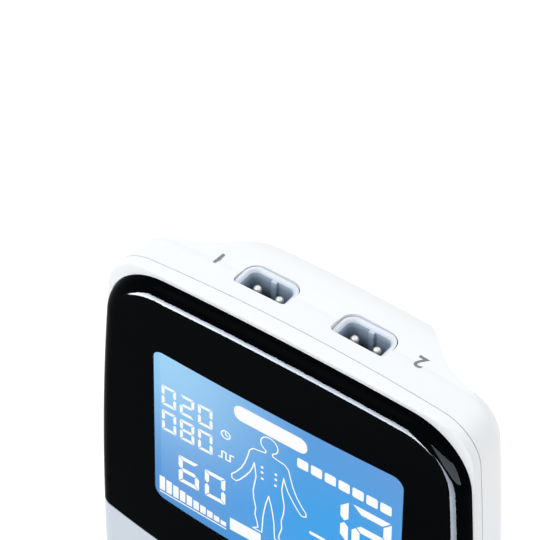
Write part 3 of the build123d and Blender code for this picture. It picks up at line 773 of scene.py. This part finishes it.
# ---- case ----
@dataclass
class Case:
    """The two halves of the case, with the channel numbers printed beside the sockets."""

    number_height: float = 2.3
    # How bold the numbers are, as a share of their size.
    number_weight: float = 0.022
    # How far each number stands from the middle.
    number_x: float = 16.3
    # Where the numbers stand between front and back.
    number_y: float = 5.3

    def build(self) -> None:
        """Finish the shells and screws and print the numbers."""
        WHITE_ABS.dress("front_shell", "rear_shell")
        ZINC_STEEL.dress("case_screws", "board_screws")
        for text, side in (("1", -1), ("2", 1)):
            self.print_number(text, side)

    def print_number(self, text: str, side: int) -> None:
        """Print a channel's number on the top end, to be read from the back.

        Args:
            text: The number.
            side: -1 for the left socket, 1 for the right.
        """
        mesh = number_mesh(text, self.number_height, self.number_weight, GREY_INK.material())
        _, high = box_mm("rear_shell")
        place = Matrix.Translation((side * self.number_x, self.number_y, high.z))
        settle(mesh, place, Matrix.Rotation(math.pi, 4, "Z"))
        lay_on(mesh, "rear_shell", Vector((0, 0, -1)))
        add_piece(f"channel_{text}_number", mesh, CASE_BODY)


# ---- display ----
@dataclass
class SevenSegment:
    """A row of seven-segment digits."""

    text: str
    # Left edge of the first digit.
    left: float
    top: float
    # Width of one digit.
    width: float
    height: float
    # From one digit to the next.
    pitch: float
    # Width of a segment.
    stroke: float
    # Gap between segments.
    gap: float = 0.1

    SEGMENTS = {"0": "abcdef", "1": "bc", "2": "abged", "6": "afgecd", "8": "abcdefg"}

    def draw(self, sheet: Drawing) -> None:
        """Draw every digit.

        Args:
            sheet: The drawing.
        """
        for index, digit in enumerate(self.text):
            for name in self.SEGMENTS[digit]:
                sheet.fill(self.segment(name, self.left + index * self.pitch))

    def segment(self, name: str, left: float) -> list[Point]:
        """The outline of one segment with bevelled ends.

        Args:
            name: Its letter, a at the top and g in the middle.
            left: Left edge of its digit.

        Returns:
            Its corners.
        """
        s, gap = self.stroke, self.gap
        right, low = left + self.width, self.top - self.height
        middle = (self.top + low) / 2
        if name in "ad":
            edge, inward = (self.top, -s) if name == "a" else (low, s)
            return [(left + gap, edge), (right - gap, edge), (right - s - gap, edge + inward),
                    (left + s + gap, edge + inward)]
        if name == "g":
            h = s / 2
            return [(left + gap + h, middle), (left + s + gap, middle + h), (right - s - gap, middle + h),
                    (right - gap - h, middle), (right - s - gap, middle - h), (left + s + gap, middle - h)]
        edge, inward = (left, s) if name in "fe" else (right, -s)
        high, end, sign = (self.top, middle, -1) if name in "fb" else (low, middle, 1)
        return [(edge, high + sign * gap), (edge + inward, high + sign * (gap + s)),
                (edge + inward, end - sign * (gap + s / 2)), (edge + inward / 2, end - sign * gap),
                (edge, end - sign * (gap + s / 2))]


@dataclass
class Display:
    """The lens, the lit display and its figures, drawn down from the top end."""

    # The height that the drawing's drops are measured from.
    case_height: float = 132.0
    # How far the figures stand before the glass.
    lift: float = 0.03
    digits: tuple[SevenSegment, ...] = (
        SevenSegment("020", -19.74, -20.16, 2.45, 3.8, 3.08, 0.5),
        SevenSegment("080", -19.74, -24.96, 2.45, 3.9, 3.08, 0.5),
        SevenSegment("60", -16.94, -32.26, 3.5, 5.2, 4.5, 0.72),
        SevenSegment("12", 5.1, -23.56, 6.4, 8.4, 6.98, 1.3, 0.16))
    # Low corner, size, corner radius, count and pitch of the boxes: the pill over the body sign, the
    # program blocks, the two boxes under the body, the dashes, and the charge sign's nub and bars.
    blocks: tuple[tuple[Point, Point, float, int, float], ...] = (
        ((-7.54, -19.16), (12.1, 2.8), 1.25, 1, 0.0), ((2.96, -22.1), (1.84, 1.8), 0.3, 7, 2.26),
        ((-8.14, -41.7), (5.24, 2.4), 0.15, 2, 7.74), ((5.2, -33.9), (2.7, 0.6), 0.2, 3, 4.5),
        ((17.2, -37.8), (0.7, 0.8), 0.1, 1, 0.0), ((8.5, -38.1), (2.4, 1.4), 0.15, 3, 2.8))
    # The charge sign's frame, and its width of line.
    charge: tuple[tuple[Point, ...], float] = (
        ((8.0, -38.6), (17.0, -38.6), (17.0, -36.2), (8.0, -36.2)), 0.35)
    # Centre, radius and width of line of the clock.
    clock: tuple[Point, float, float] = ((-8.9, -23.4), 0.72, 0.24)
    # The clock's hands, and their width.
    hands: tuple[tuple[Point, ...], float] = (((-8.9, -22.95), (-8.9, -23.4), (-8.55, -23.55)), 0.2)
    # The pulse sign, and its width of line.
    wave: tuple[tuple[Point, ...], float] = (
        ((-10.1, -28.2), (-9.55, -28.2), (-9.55, -26.9), (-8.85, -26.9), (-8.85, -28.2), (-8.15, -28.2),
         (-8.15, -26.9), (-7.55, -26.9)), 0.26)
    # The axis of the body sign.
    middle: float = -1.64
    # Width of the body's outline.
    body_line: float = 0.2
    # The right half of the body, from the neck to the crotch.
    half_body: tuple[Point, ...] = (
        (0.55, -22.35), (0.62, -22.75), (1.5, -22.95), (2.6, -23.1), (3.25, -23.8), (3.6, -25.3),
        (4.05, -26.8), (4.65, -28.2), (5.5, -29.5), (6.25, -30.4), (6.2, -31.1), (5.5, -31.3), (4.9, -30.7),
        (4.0, -29.4), (3.15, -28.0), (2.75, -26.9), (2.45, -25.8), (2.3, -26.9), (2.15, -28.3),
        (2.35, -29.6), (2.6, -31.2), (2.5, -32.8), (2.15, -34.4), (2.25, -35.9), (1.85, -37.4),
        (1.75, -38.2), (2.6, -38.8), (1.1, -38.8), (1.0, -37.4), (0.95, -35.9), (0.75, -34.3),
        (0.45, -32.6), (0.0, -30.9))
    # The drop of the head's centre, its radius, and where its arc starts and ends.
    neck: tuple[float, float, float, float] = (-20.95, 1.42, -68, 248)
    # The electrode pads on the right half of the body.
    pads: tuple[Point, ...] = ((1.15, -25.9), (1.15, -26.9), (1.1, -28.1))
    # Radius of a pad.
    pad: float = 0.24
    # Number, pitch, width, first and last height, and rise of the level graph's bars.
    bars: tuple[int, float, float, float, float, float] = (10, 1.17, 0.95, 2.75, 0.85, -0.05)
    # Where the first bar stands.
    bars_at: Place = (-19.8, -41.2, 0.0)
    # The line under the bars, and its width.
    base_line: tuple[tuple[Point, ...], float] = (((-20.2, -41.6), (-14.5, -41.85), (-8.85, -42.1)), 0.24)

    def build(self) -> None:
        """Finish the display's nodes and draw its figures."""
        BLACK_ACRYLIC.dress("display_lens")
        CLEAR_ACRYLIC.dress("display_window")
        DISPLAY_BLUE.dress("lcd_glass")
        LIGHT_GUIDE.dress("lcd_backlight")
        HOLDER_PLASTIC.dress("lcd_holder")
        LAYERED_SILICONE.dress("zebra_strip")
        low, _ = box_mm("lcd_glass")
        place = facing_front(low.y - self.lift) @ Matrix.Translation((0, self.case_height, 0))
        sheet = Drawing()
        for row in self.digits:
            row.draw(sheet)
        self.draw_signs(sheet)
        self.draw_body(sheet)
        self.add_drawing("display_figures", sheet, place)
        self.add_bars(place)
        base = Drawing()
        base.line(*self.base_line)
        self.add_drawing("level_base_line", base, place)

    def add_drawing(self, name: str, sheet: Drawing, place: Matrix) -> None:
        """Add a drawing of lit figures as a piece."""
        add_piece(name, sheet.mesh(name, place, DISPLAY_WHITE.material()), CASE_BODY, Slot.DISPLAY)

    def draw_signs(self, sheet: Drawing) -> None:
        """The plain signs round the digits: boxes, charge, clock and wave.

        Args:
            sheet: The drawing.
        """
        for low, size, radius, count, pitch in self.blocks:
            sheet.blocks(low, size, radius, count, pitch)
        sheet.line(*self.charge, closed=True)
        centre, radius, width = self.clock
        sheet.arc(centre, radius, 0, 360, width)
        sheet.line(*self.hands)
        sheet.line(*self.wave)

    def draw_body(self, sheet: Drawing) -> None:
        """The outline of a standing body with electrode pads, without a face.

        Args:
            sheet: The drawing.
        """
        for side in (1, -1):
            sheet.line([(self.middle + side * x, z) for x, z in self.half_body], self.body_line)
            for x, z in self.pads:
                sheet.disc((self.middle + side * x, z), self.pad)
        drop, radius, start, end = self.neck
        sheet.arc((self.middle, drop), radius, start, end, self.body_line)

    def add_bars(self, place: Matrix) -> None:
        """The level graph: bars that fall from left to right.

        Args:
            place: From the drawing's plane to the model.
        """
        labels = ("Count", "Pitch", "Width", "First Height", "Last Height", "Rise")
        shape = ShapeTree("level_bars", {**dict(zip(labels, self.bars)),
                                         "Material": DISPLAY_WHITE.material()})
        given = shape.given
        line = shape.add("MeshLine", {"Count": given["Count"], "Offset": shape.vector({0: given["Pitch"]})},
                         mode="OFFSET")
        # A bar one high that stands on the line.
        bar = shape.add("MeshGrid", {"Size X": given["Width"], "Size Y": 1.0, "Vertices X": 2,
                                     "Vertices Y": 2})
        raised = shape.add("Transform", {"Geometry": bar, "Translation": (0.0, 0.5, 0.0)})
        index = shape.add("InputIndex")
        height = remap(shape.tree, index, (0.0, shape.compute("SUBTRACT", given["Count"], 1.0)),
                       (given["First Height"], given["Last Height"]))
        shift = shape.vector({1: shape.compute("MULTIPLY", index, given["Rise"])})
        moved = shape.add("SetPosition", {"Geometry": line, "Offset": shift})
        mesh = shape.mesh(moved, raised, shape.vector({0: 1.0, 1: height, 2: 1.0}), "Material")
        settle(mesh, place, Matrix.Translation(self.bars_at))
        add_piece("level_bars", mesh, CASE_BODY, Slot.DISPLAY)


# ---- keypad ----
@dataclass
class Keypad:
    """The silver plate, the keys with their printed signs, the mat and the domes."""

    # Width of the signs' lines.
    stroke: float = 0.55
    # Half the size of a sign.
    reach: float = 1.7
    # How far the ink stands on the key.
    lift: float = 0.002
    signs: dict[str, Icon] = field(default_factory=lambda: {
        "menu_key": Icon.LIST, "power_key": Icon.POWER, "enter_key": Icon.TICK,
        "channel_1_up_key": Icon.PLUS, "program_up_key": Icon.UP, "channel_2_up_key": Icon.PLUS,
        "channel_1_down_key": Icon.MINUS, "program_down_key": Icon.DOWN, "channel_2_down_key": Icon.MINUS})

    def build(self) -> None:
        """Finish plate, keys and mat and print the signs."""
        SILVER_LACQUER.dress("keypad_plate")
        KEY_PLASTIC.dress(*self.signs)
        SILICONE.dress("keypad_mat")
        NICKEL_STRIP.dress("snap_domes")
        for key, icon in self.signs.items():
            low, high = box_mm(key)
            sheet = Drawing()
            self.draw(sheet, icon)
            middle = Matrix.Translation(((low.x + high.x) / 2, (low.z + high.z) / 2, 0))
            mesh = sheet.mesh(f"{key}_sign", facing_front(low.y - self.lift) @ middle, WHITE_INK.material())
            add_piece(f"{key}_sign", mesh, key)

    def draw(self, sheet: Drawing, icon: Icon) -> None:
        """Draw a sign, its points in shares of its reach.

        Args:
            sheet: The drawing.
            icon: Which sign.
        """
        r, w = self.reach, self.stroke
        if icon is Icon.LIST:
            for y in (-0.6 * r, 0.0, 0.6 * r):
                sheet.line([(-r, y), (r, y)], w)
        elif icon is Icon.POWER:
            sheet.arc((0, 0), r, 125, 415, w)
            sheet.line([(0, 0.35 * r), (0, 1.25 * r)], w)
        elif icon is Icon.TICK:
            sheet.line([(-r, 0), (-0.25 * r, -0.75 * r), (r, 0.75 * r)], w)
        elif icon in (Icon.PLUS, Icon.MINUS):
            sheet.line([(-r, 0), (r, 0)], w)
            if icon is Icon.PLUS:
                sheet.line([(0, -r), (0, r)], w)
        else:
            tip = r if icon is Icon.UP else -r
            sheet.fill([(-r, -0.7 * tip), (r, -0.7 * tip), (0, 0.8 * tip)])


# ---- sockets ----
@dataclass
class Sockets:
    """The two lead sockets with their pins."""

    channels: tuple[int, ...] = (1, 2)

    def build(self) -> None:
        """Finish inserts and pins."""
        SOCKET_PLASTIC.dress(*(f"lead_socket_{n}" for n in self.channels))
        PIN_PLATING.dress(*(f"socket_pins_{n}" for n in self.channels))


# ---- electronics ----
@dataclass
class Electronics:
    """The circuit board with its parts."""

    # Columns of places for small parts.
    columns: int = 9
    rows: int = 5
    # From one place to the next.
    pitch: float = 3.2
    # Length, width and height of a small part.
    part: Place = (1.6, 0.8, 0.45)
    # Share of its length that is its dark body.
    body: float = 0.7
    # Size of each end cap, as shares of the part's length, width and height.
    cap: Place = (0.25, 1.02, 1.06)
    # Share of the places that hold a part.
    kept: float = 0.6
    seed: int = 7
    # How far the grid's middle lies to the right, seen from the back.
    middle: float = 12.5
    # How far the grid's upper edge lies below the controller's lower edge.
    below_chip: float = 6.5

    def build(self) -> None:
        """Finish board and parts and add the small parts under the display."""
        SOLDER_MASK.dress("main_board")
        CHIP_EPOXY.dress("controller_chip", "driver_chips", "buzzer")
        CAN_SLEEVE.dress("capacitors")
        CORE_STEEL.dress("output_transformer_1", "output_transformer_2")
        self.add_small_parts()

    def add_small_parts(self) -> None:
        """Small resistors in a loose grid on the back of the board, between tray and chips."""
        length, width, height = self.part
        shape = ShapeTree("small_board_parts", {
            "Columns": self.columns, "Rows": self.rows, "Pitch": self.pitch, "Length": length * self.body,
            "Body Size": (length * self.body, width, height),
            "End Size": tuple(share * size for share, size in zip(self.cap, self.part)),
            "Kept": self.kept, "Seed": self.seed, "Body Material": CHIP_EPOXY.material(),
            "End Material": TIN.material()})
        given = shape.given
        sizes = [shape.compute("MULTIPLY", shape.compute("SUBTRACT", given[count], 1.0), given["Pitch"])
                 for count in ("Columns", "Rows")]
        grid = shape.add("MeshGrid", {"Size X": sizes[0], "Size Y": sizes[1], "Vertices X": given["Columns"],
                                      "Vertices Y": given["Rows"]})
        chance = add_node(shape.tree, "FunctionNodeRandomValue", {"Seed": given["Seed"]}, output=1,
                          data_type="FLOAT")
        left_out = add_node(shape.tree, "FunctionNodeCompare", {0: chance, 1: given["Kept"]},
                            data_type="FLOAT", operation="GREATER_THAN")
        points = shape.add("DeleteGeometry", {"Geometry": grid, "Selection": left_out})
        whole = shape.tree.nodes.new("GeometryNodeJoinGeometry")
        for kind, side in (("Body", 0.0), ("End", 0.5), ("End", -0.5)):
            block = shape.add("MeshCube", {"Size": given[f"{kind} Size"]})
            there = shape.vector({0: shape.compute("MULTIPLY", given["Length"], side)})
            block = shape.add("Transform", {"Geometry": block, "Translation": there})
            block = shape.add("SetMaterial", {"Geometry": block, "Material": given[f"{kind} Material"]})
            shape.tree.links.new(block, whole.inputs[0])
        mesh = shape.mesh(points, whole.outputs[0])
        _, high = box_mm("main_board")
        chip_low, _ = box_mm("controller_chip")
        centre = chip_low.z - self.below_chip - self.pitch * (self.rows - 1) / 2
        # The end caps, the highest of each part, just rest on the board.
        board = facing_back(high.y + self.cap[2] * height / 2)
        settle(mesh, board, Matrix.Translation((self.middle, centre, 0)))
        add_piece("small_board_parts", mesh, CASE_BODY, Slot.CHIPS)


# ---- battery ----
@dataclass
class Battery:
    """The cells, their contacts and the battery door."""

    # Height of a cell's nub.
    nub: float = 1.2
    # Height of the bare metal at each end of a cell.
    bare: float = 0.9
    # Height of the second colour near the nub.
    band: float = 11.0
    # Half the size of the pole signs.
    sign: float = 1.1
    sign_line: float = 0.5
    ribs: int = 5
    rib_pitch: float = 1.5
    rib_length: float = 16.0
    rib_radius: float = 0.45
    # Height of the lowest rib above the foot.
    rib_low: float = 15.5
    arrow_height: float = 3.0
    # Half the width of the arrow's base.
    arrow_half: float = 2.25
    # How far the arrow stands out.
    arrow_depth: float = 0.25
    # From the place of one more rib to the arrow's tip.
    arrow_gap: float = 1.5
    # Rounding of the arrow's edges.
    arrow_edge: float = 0.08

    def build(self) -> None:
        """Finish cells, contacts and door, and add the door's grip."""
        NICKEL_STRIP.dress("battery_contacts")
        SPRING_WIRE.dress("battery_springs")
        WHITE_ABS.dress("battery_door")
        for number, up in ((1, True), (2, False), (3, True)):
            self.finish_cell(number, up)
        self.add_ribs()
        self.add_arrow()

    def finish_cell(self, number: int, up: bool) -> None:
        """Wrap a cell and print its pole signs.

        Args:
            number: Which cell.
            up: Whether its nub points up.
        """
        name = f"battery_cell_{number}"
        low, high = box_mm(name)
        bottom = low.z + self.bare + (0 if up else self.nub)
        top = high.z - self.bare - (self.nub if up else 0)
        band = (top - self.band, top) if up else (bottom, bottom + self.band)
        # Printed film, shrunk on: glossy, with the paler band at the nub's end.
        CellWrap(f"printed_cell_film_{number}", "#24405E", "#1F3852", roughness=0.25, unevenness=0.03,
                 grain=1.5, depth=0.002, film=(bottom, top), band=band).dress(name)
        ends = (bottom + self.band / 2, top - self.band / 2)
        minus, plus = ends if up else reversed(ends)
        sheet = Drawing()
        for line in (((-self.sign, plus), (self.sign, plus)), ((0, plus - self.sign), (0, plus + self.sign)),
                     ((-self.sign, minus), (self.sign, minus))):
            sheet.line(line, self.sign_line)
        place = facing_back(high.y) @ Matrix.Translation((-(low.x + high.x) / 2, 0, 0))
        mesh = sheet.mesh(f"{name}_signs", place, WHITE_INK.material())
        lay_on(mesh, name, Vector((0, -1, 0)))
        add_piece(f"{name}_signs", mesh, CASE_BODY)

    def add_ribs(self) -> None:
        """Round ribs across the door, over its finger notch."""
        mesh = rib_mesh("door_grip_ribs", self.ribs, self.rib_pitch, self.rib_length, self.rib_radius,
                        WHITE_ABS.material())
        _, high = box_mm("battery_door")
        # Two thirds of each rib's thickness lie inside the door.
        settle(mesh, Matrix.Translation((0, high.y - self.rib_radius / 3, self.rib_low)))
        add_piece("door_grip_ribs", mesh, "battery_door", Slot.SHELL)

    def add_arrow(self) -> None:
        """A small moulded arrow that shows which way the door is pressed to open."""
        _, high = box_mm("battery_door")
        tip = self.rib_low + self.ribs * self.rib_pitch + self.arrow_gap
        base = tip + self.arrow_height
        solid = bmesh.new()
        inner, outer = ([solid.verts.new((x, high.y + out * self.arrow_depth, z)) for x, z in (
            (-self.arrow_half, base), (self.arrow_half, base), (0, tip))] for out in (-1, 1))
        solid.faces.new(inner)
        solid.faces.new(outer[::-1])
        for index in range(3):
            after = (index + 1) % 3
            solid.faces.new((inner[index], outer[index], outer[after], inner[after]))
        bmesh.ops.bevel(solid, geom=solid.edges[:], offset=self.arrow_edge, segments=2, affect="EDGES",
                        profile=0.6)
        bmesh.ops.recalc_face_normals(solid, faces=solid.faces[:])
        mesh = bpy.data.meshes.new("door_arrow")
        solid.to_mesh(mesh)
        solid.free()
        settle(mesh)
        mesh.materials.append(WHITE_ABS.material())
        add_piece("door_arrow", mesh, "battery_door", Slot.SHELL)


# ---- belt clip ----
@dataclass
class BeltClip:
    """The belt clip with grooves across its thumb pad."""

    grooves: int = 3
    # From one groove to the next.
    pitch: float = 1.4
    radius: float = 0.6
    # Depth of a groove.
    depth: float = 0.35
    # Height of the clip's upper edge above the highest groove.
    from_top: float = 1.6
    # How far the cutting rods reach past the clip, both sides together.
    past: float = 2.0
    # Angle in degrees from which an edge stays sharp.
    sharp: float = 25.0

    def build(self) -> None:
        """Finish clip, pin and spring and cut the grooves."""
        WHITE_ABS.dress("belt_clip")
        ZINC_STEEL.dress("clip_pin")
        SPRING_WIRE.dress("clip_spring")
        self.cut_grooves()

    def cut_grooves(self) -> None:
        """A clip with its grooves, in place of the smooth one."""
        low, high = box_mm("belt_clip")
        white = WHITE_ABS.material()
        rods = rib_mesh("clip_grooves", self.grooves, self.pitch, high.x - low.x + self.past, self.radius,
                        white)
        lowest = high.z - self.from_top - (self.grooves - 1) * self.pitch
        settle(rods, Matrix.Translation((0, high.y + self.radius - self.depth, lowest)))
        cutter = in_scene("clip_cutter", rods)
        clip = in_scene("grooved_clip", node_object("belt_clip").data.copy())
        cut = clip.modifiers.new("grooves", "BOOLEAN")
        cut.operation = "DIFFERENCE"
        cut.object = cutter
        mesh = kept_mesh(clip)
        bpy.data.objects.remove(cutter)
        mesh.materials.clear()
        mesh.materials.append(white)
        mesh.set_sharp_from_angle(angle=math.radians(self.sharp))
        piece = add_piece("grooved_belt_clip", mesh, "belt_clip", Slot.SHELL)
        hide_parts("belt_clip")


# ---- studio ----
@dataclass(frozen=True)
class Lamp:
    """A soft area lamp."""

    name: str
    # Where it stands, in metres.
    place: Place
    # The point it faces, in metres.
    aim: Place
    # Width and height in metres.
    size: Point
    # Its power in watts.
    power: float
    # sRGB hex of its light.
    colour: str = "#FFFFFF"
    # The one CAD node that it gives highlights to; none for a lamp on everything.
    only_on: str = ""

    def add(self) -> None:
        """Put the lamp in the scene."""
        data = bpy.data.lights.new(self.name, "AREA")
        data.shape = "RECTANGLE"
        data.size, data.size_y = self.size
        data.energy = self.power
        data.color = srgb(self.colour)[:3]
        lamp = in_scene(self.name, data)
        lamp.location = self.place
        lamp.rotation_euler = (Vector(self.aim) - lamp.location).to_track_quat("-Z", "Y").to_euler()
        lamp.visible_camera = False
        if self.only_on:
            lit = bpy.data.collections.new(f"{self.name}_subjects")
            lit.objects.link(node_object(self.only_on))
            lamp.light_linking.receiver_collection = lit
            lamp.visible_diffuse = False


@dataclass
class Studio:
    """Floor, lamps, surroundings and camera."""

    # Half the floor's width in metres.
    floor_size: float = 3.0
    # Light that the floor adds of its own where it is seen.
    floor_glow: float = 0.25
    # Strength of the light from all round.
    ambient: float = 0.68
    lamps: tuple[Lamp, ...] = (
        Lamp("key_lamp", (-0.55, -0.75, 1.1), (0.0, 0.0, 0.08), (0.9, 0.9), 8.2),
        Lamp("back_lamp", (0.5, 0.9, 0.9), (0.0, 0.0, 0.08), (0.8, 0.8), 3.0),
        Lamp("lens_top_strip", (-0.071, -0.118, 0.064), (-0.071, 0.0, 0.13), (0.118, 0.075), 30.0,
             "#DCE6F4", "display_lens"),
        Lamp("lens_side_strip", (0.026, -0.07, 0.056), (0.028, -0.003, 0.118), (0.04, 0.034), 2.2,
             "#D4E0EE", "display_lens"),
        Lamp("lens_corner_card", (0.07, -0.07, 0.11), (0.027, -0.003, 0.125), (0.08, 0.05), 2.6,
             "#D4E0EE", "display_lens"))
    # The camera's focal length in millimetres.
    lens: float = 284.87
    # The nearest and farthest that the camera sees, in metres.
    clip: Point = (0.01, 20.0)
    # Where the camera stands, in millimetres.
    eye: Place = (228.14, -324.43, 525.77)
    # The camera's own X, Y and Z axes.
    right: Place = (0.80780, 0.58937, 0.00929)
    up: Place = (-0.41514, 0.55765, 0.71881)
    back: Place = (0.41848, -0.58451, 0.69514)

    def build(self) -> None:
        """Set the whole studio up."""
        self.add_floor()
        self.set_world()
        for lamp in self.lamps:
            lamp.add()
        self.add_camera()
        bpy.context.scene.view_settings.view_transform = "Standard"

    def seen_rays(self, tree: Tree) -> Socket:
        """Tell rays that see a surface from rays that light it.

        Args:
            tree: The tree.

        Returns:
            1 for camera, glossy and transmission rays, else 0.
        """
        path = tree.nodes.new("ShaderNodeLightPath").outputs
        first = compute(tree, "MAXIMUM", path["Is Camera Ray"], path["Is Glossy Ray"])
        return compute(tree, "MAXIMUM", first, path["Is Transmission Ray"])

    def add_floor(self) -> None:
        """A plain pale floor that keeps the object's shadow."""
        s = self.floor_size
        mesh = bpy.data.meshes.new("floor")
        mesh.from_pydata([(-s, -s, 0), (s, -s, 0), (s, s, 0), (-s, s, 0)], [], [(0, 1, 2, 3)])
        floor = in_scene("floor", mesh)
        # Matt white paper, lifted to white where it is seen or mirrored.
        material = bpy.data.materials.new("white_paper_floor")
        tree = empty_tree(material)
        glow = compute(tree, "MULTIPLY", self.seen_rays(tree), self.floor_glow)
        paper = add_node(tree, "ShaderNodeBsdfDiffuse", {"Color": srgb("#F2F2F2")})
        lit = add_node(tree, "ShaderNodeEmission", {"Color": srgb("#FFFFFF"), "Strength": glow})
        both = add_node(tree, "ShaderNodeAddShader", {0: paper, 1: lit})
        add_node(tree, "ShaderNodeOutputMaterial", {"Surface": both})
        mesh.materials.append(material)

    def set_world(self) -> None:
        """White where it is seen, softer as light."""
        world = bpy.data.worlds.new("studio")
        bpy.context.scene.world = world
        tree = empty_tree(world)
        strength = remap(tree, self.seen_rays(tree), (0.0, 1.0), (self.ambient, 1.0))
        light = add_node(tree, "ShaderNodeBackground", {"Color": srgb("#FFFFFF"), "Strength": strength})
        add_node(tree, "ShaderNodeOutputWorld", {"Surface": light})

    def add_camera(self) -> None:
        """The camera, above the front and to the right."""
        data = bpy.data.cameras.new("camera")
        data.lens = self.lens
        data.clip_start, data.clip_end = self.clip
        camera = in_scene("camera", data)
        turn = Matrix((self.right, self.up, self.back)).transposed().to_4x4()
        camera.matrix_world = Matrix.Translation(Vector(self.eye) * MM) @ turn
        bpy.context.scene.camera = camera


def main() -> None:
    """Build every sub-assembly, then the studio."""
    logging.basicConfig(level=logging.INFO, format="%(name)s: %(message)s")
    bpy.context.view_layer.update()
    for part in (Case(), Display(), Keypad(), Sockets(), Electronics(), Battery(), BeltClip(), Studio()):
        part.build()
        log.info("%s is done", type(part).__name__)


if __name__ == "__main__":
    main()
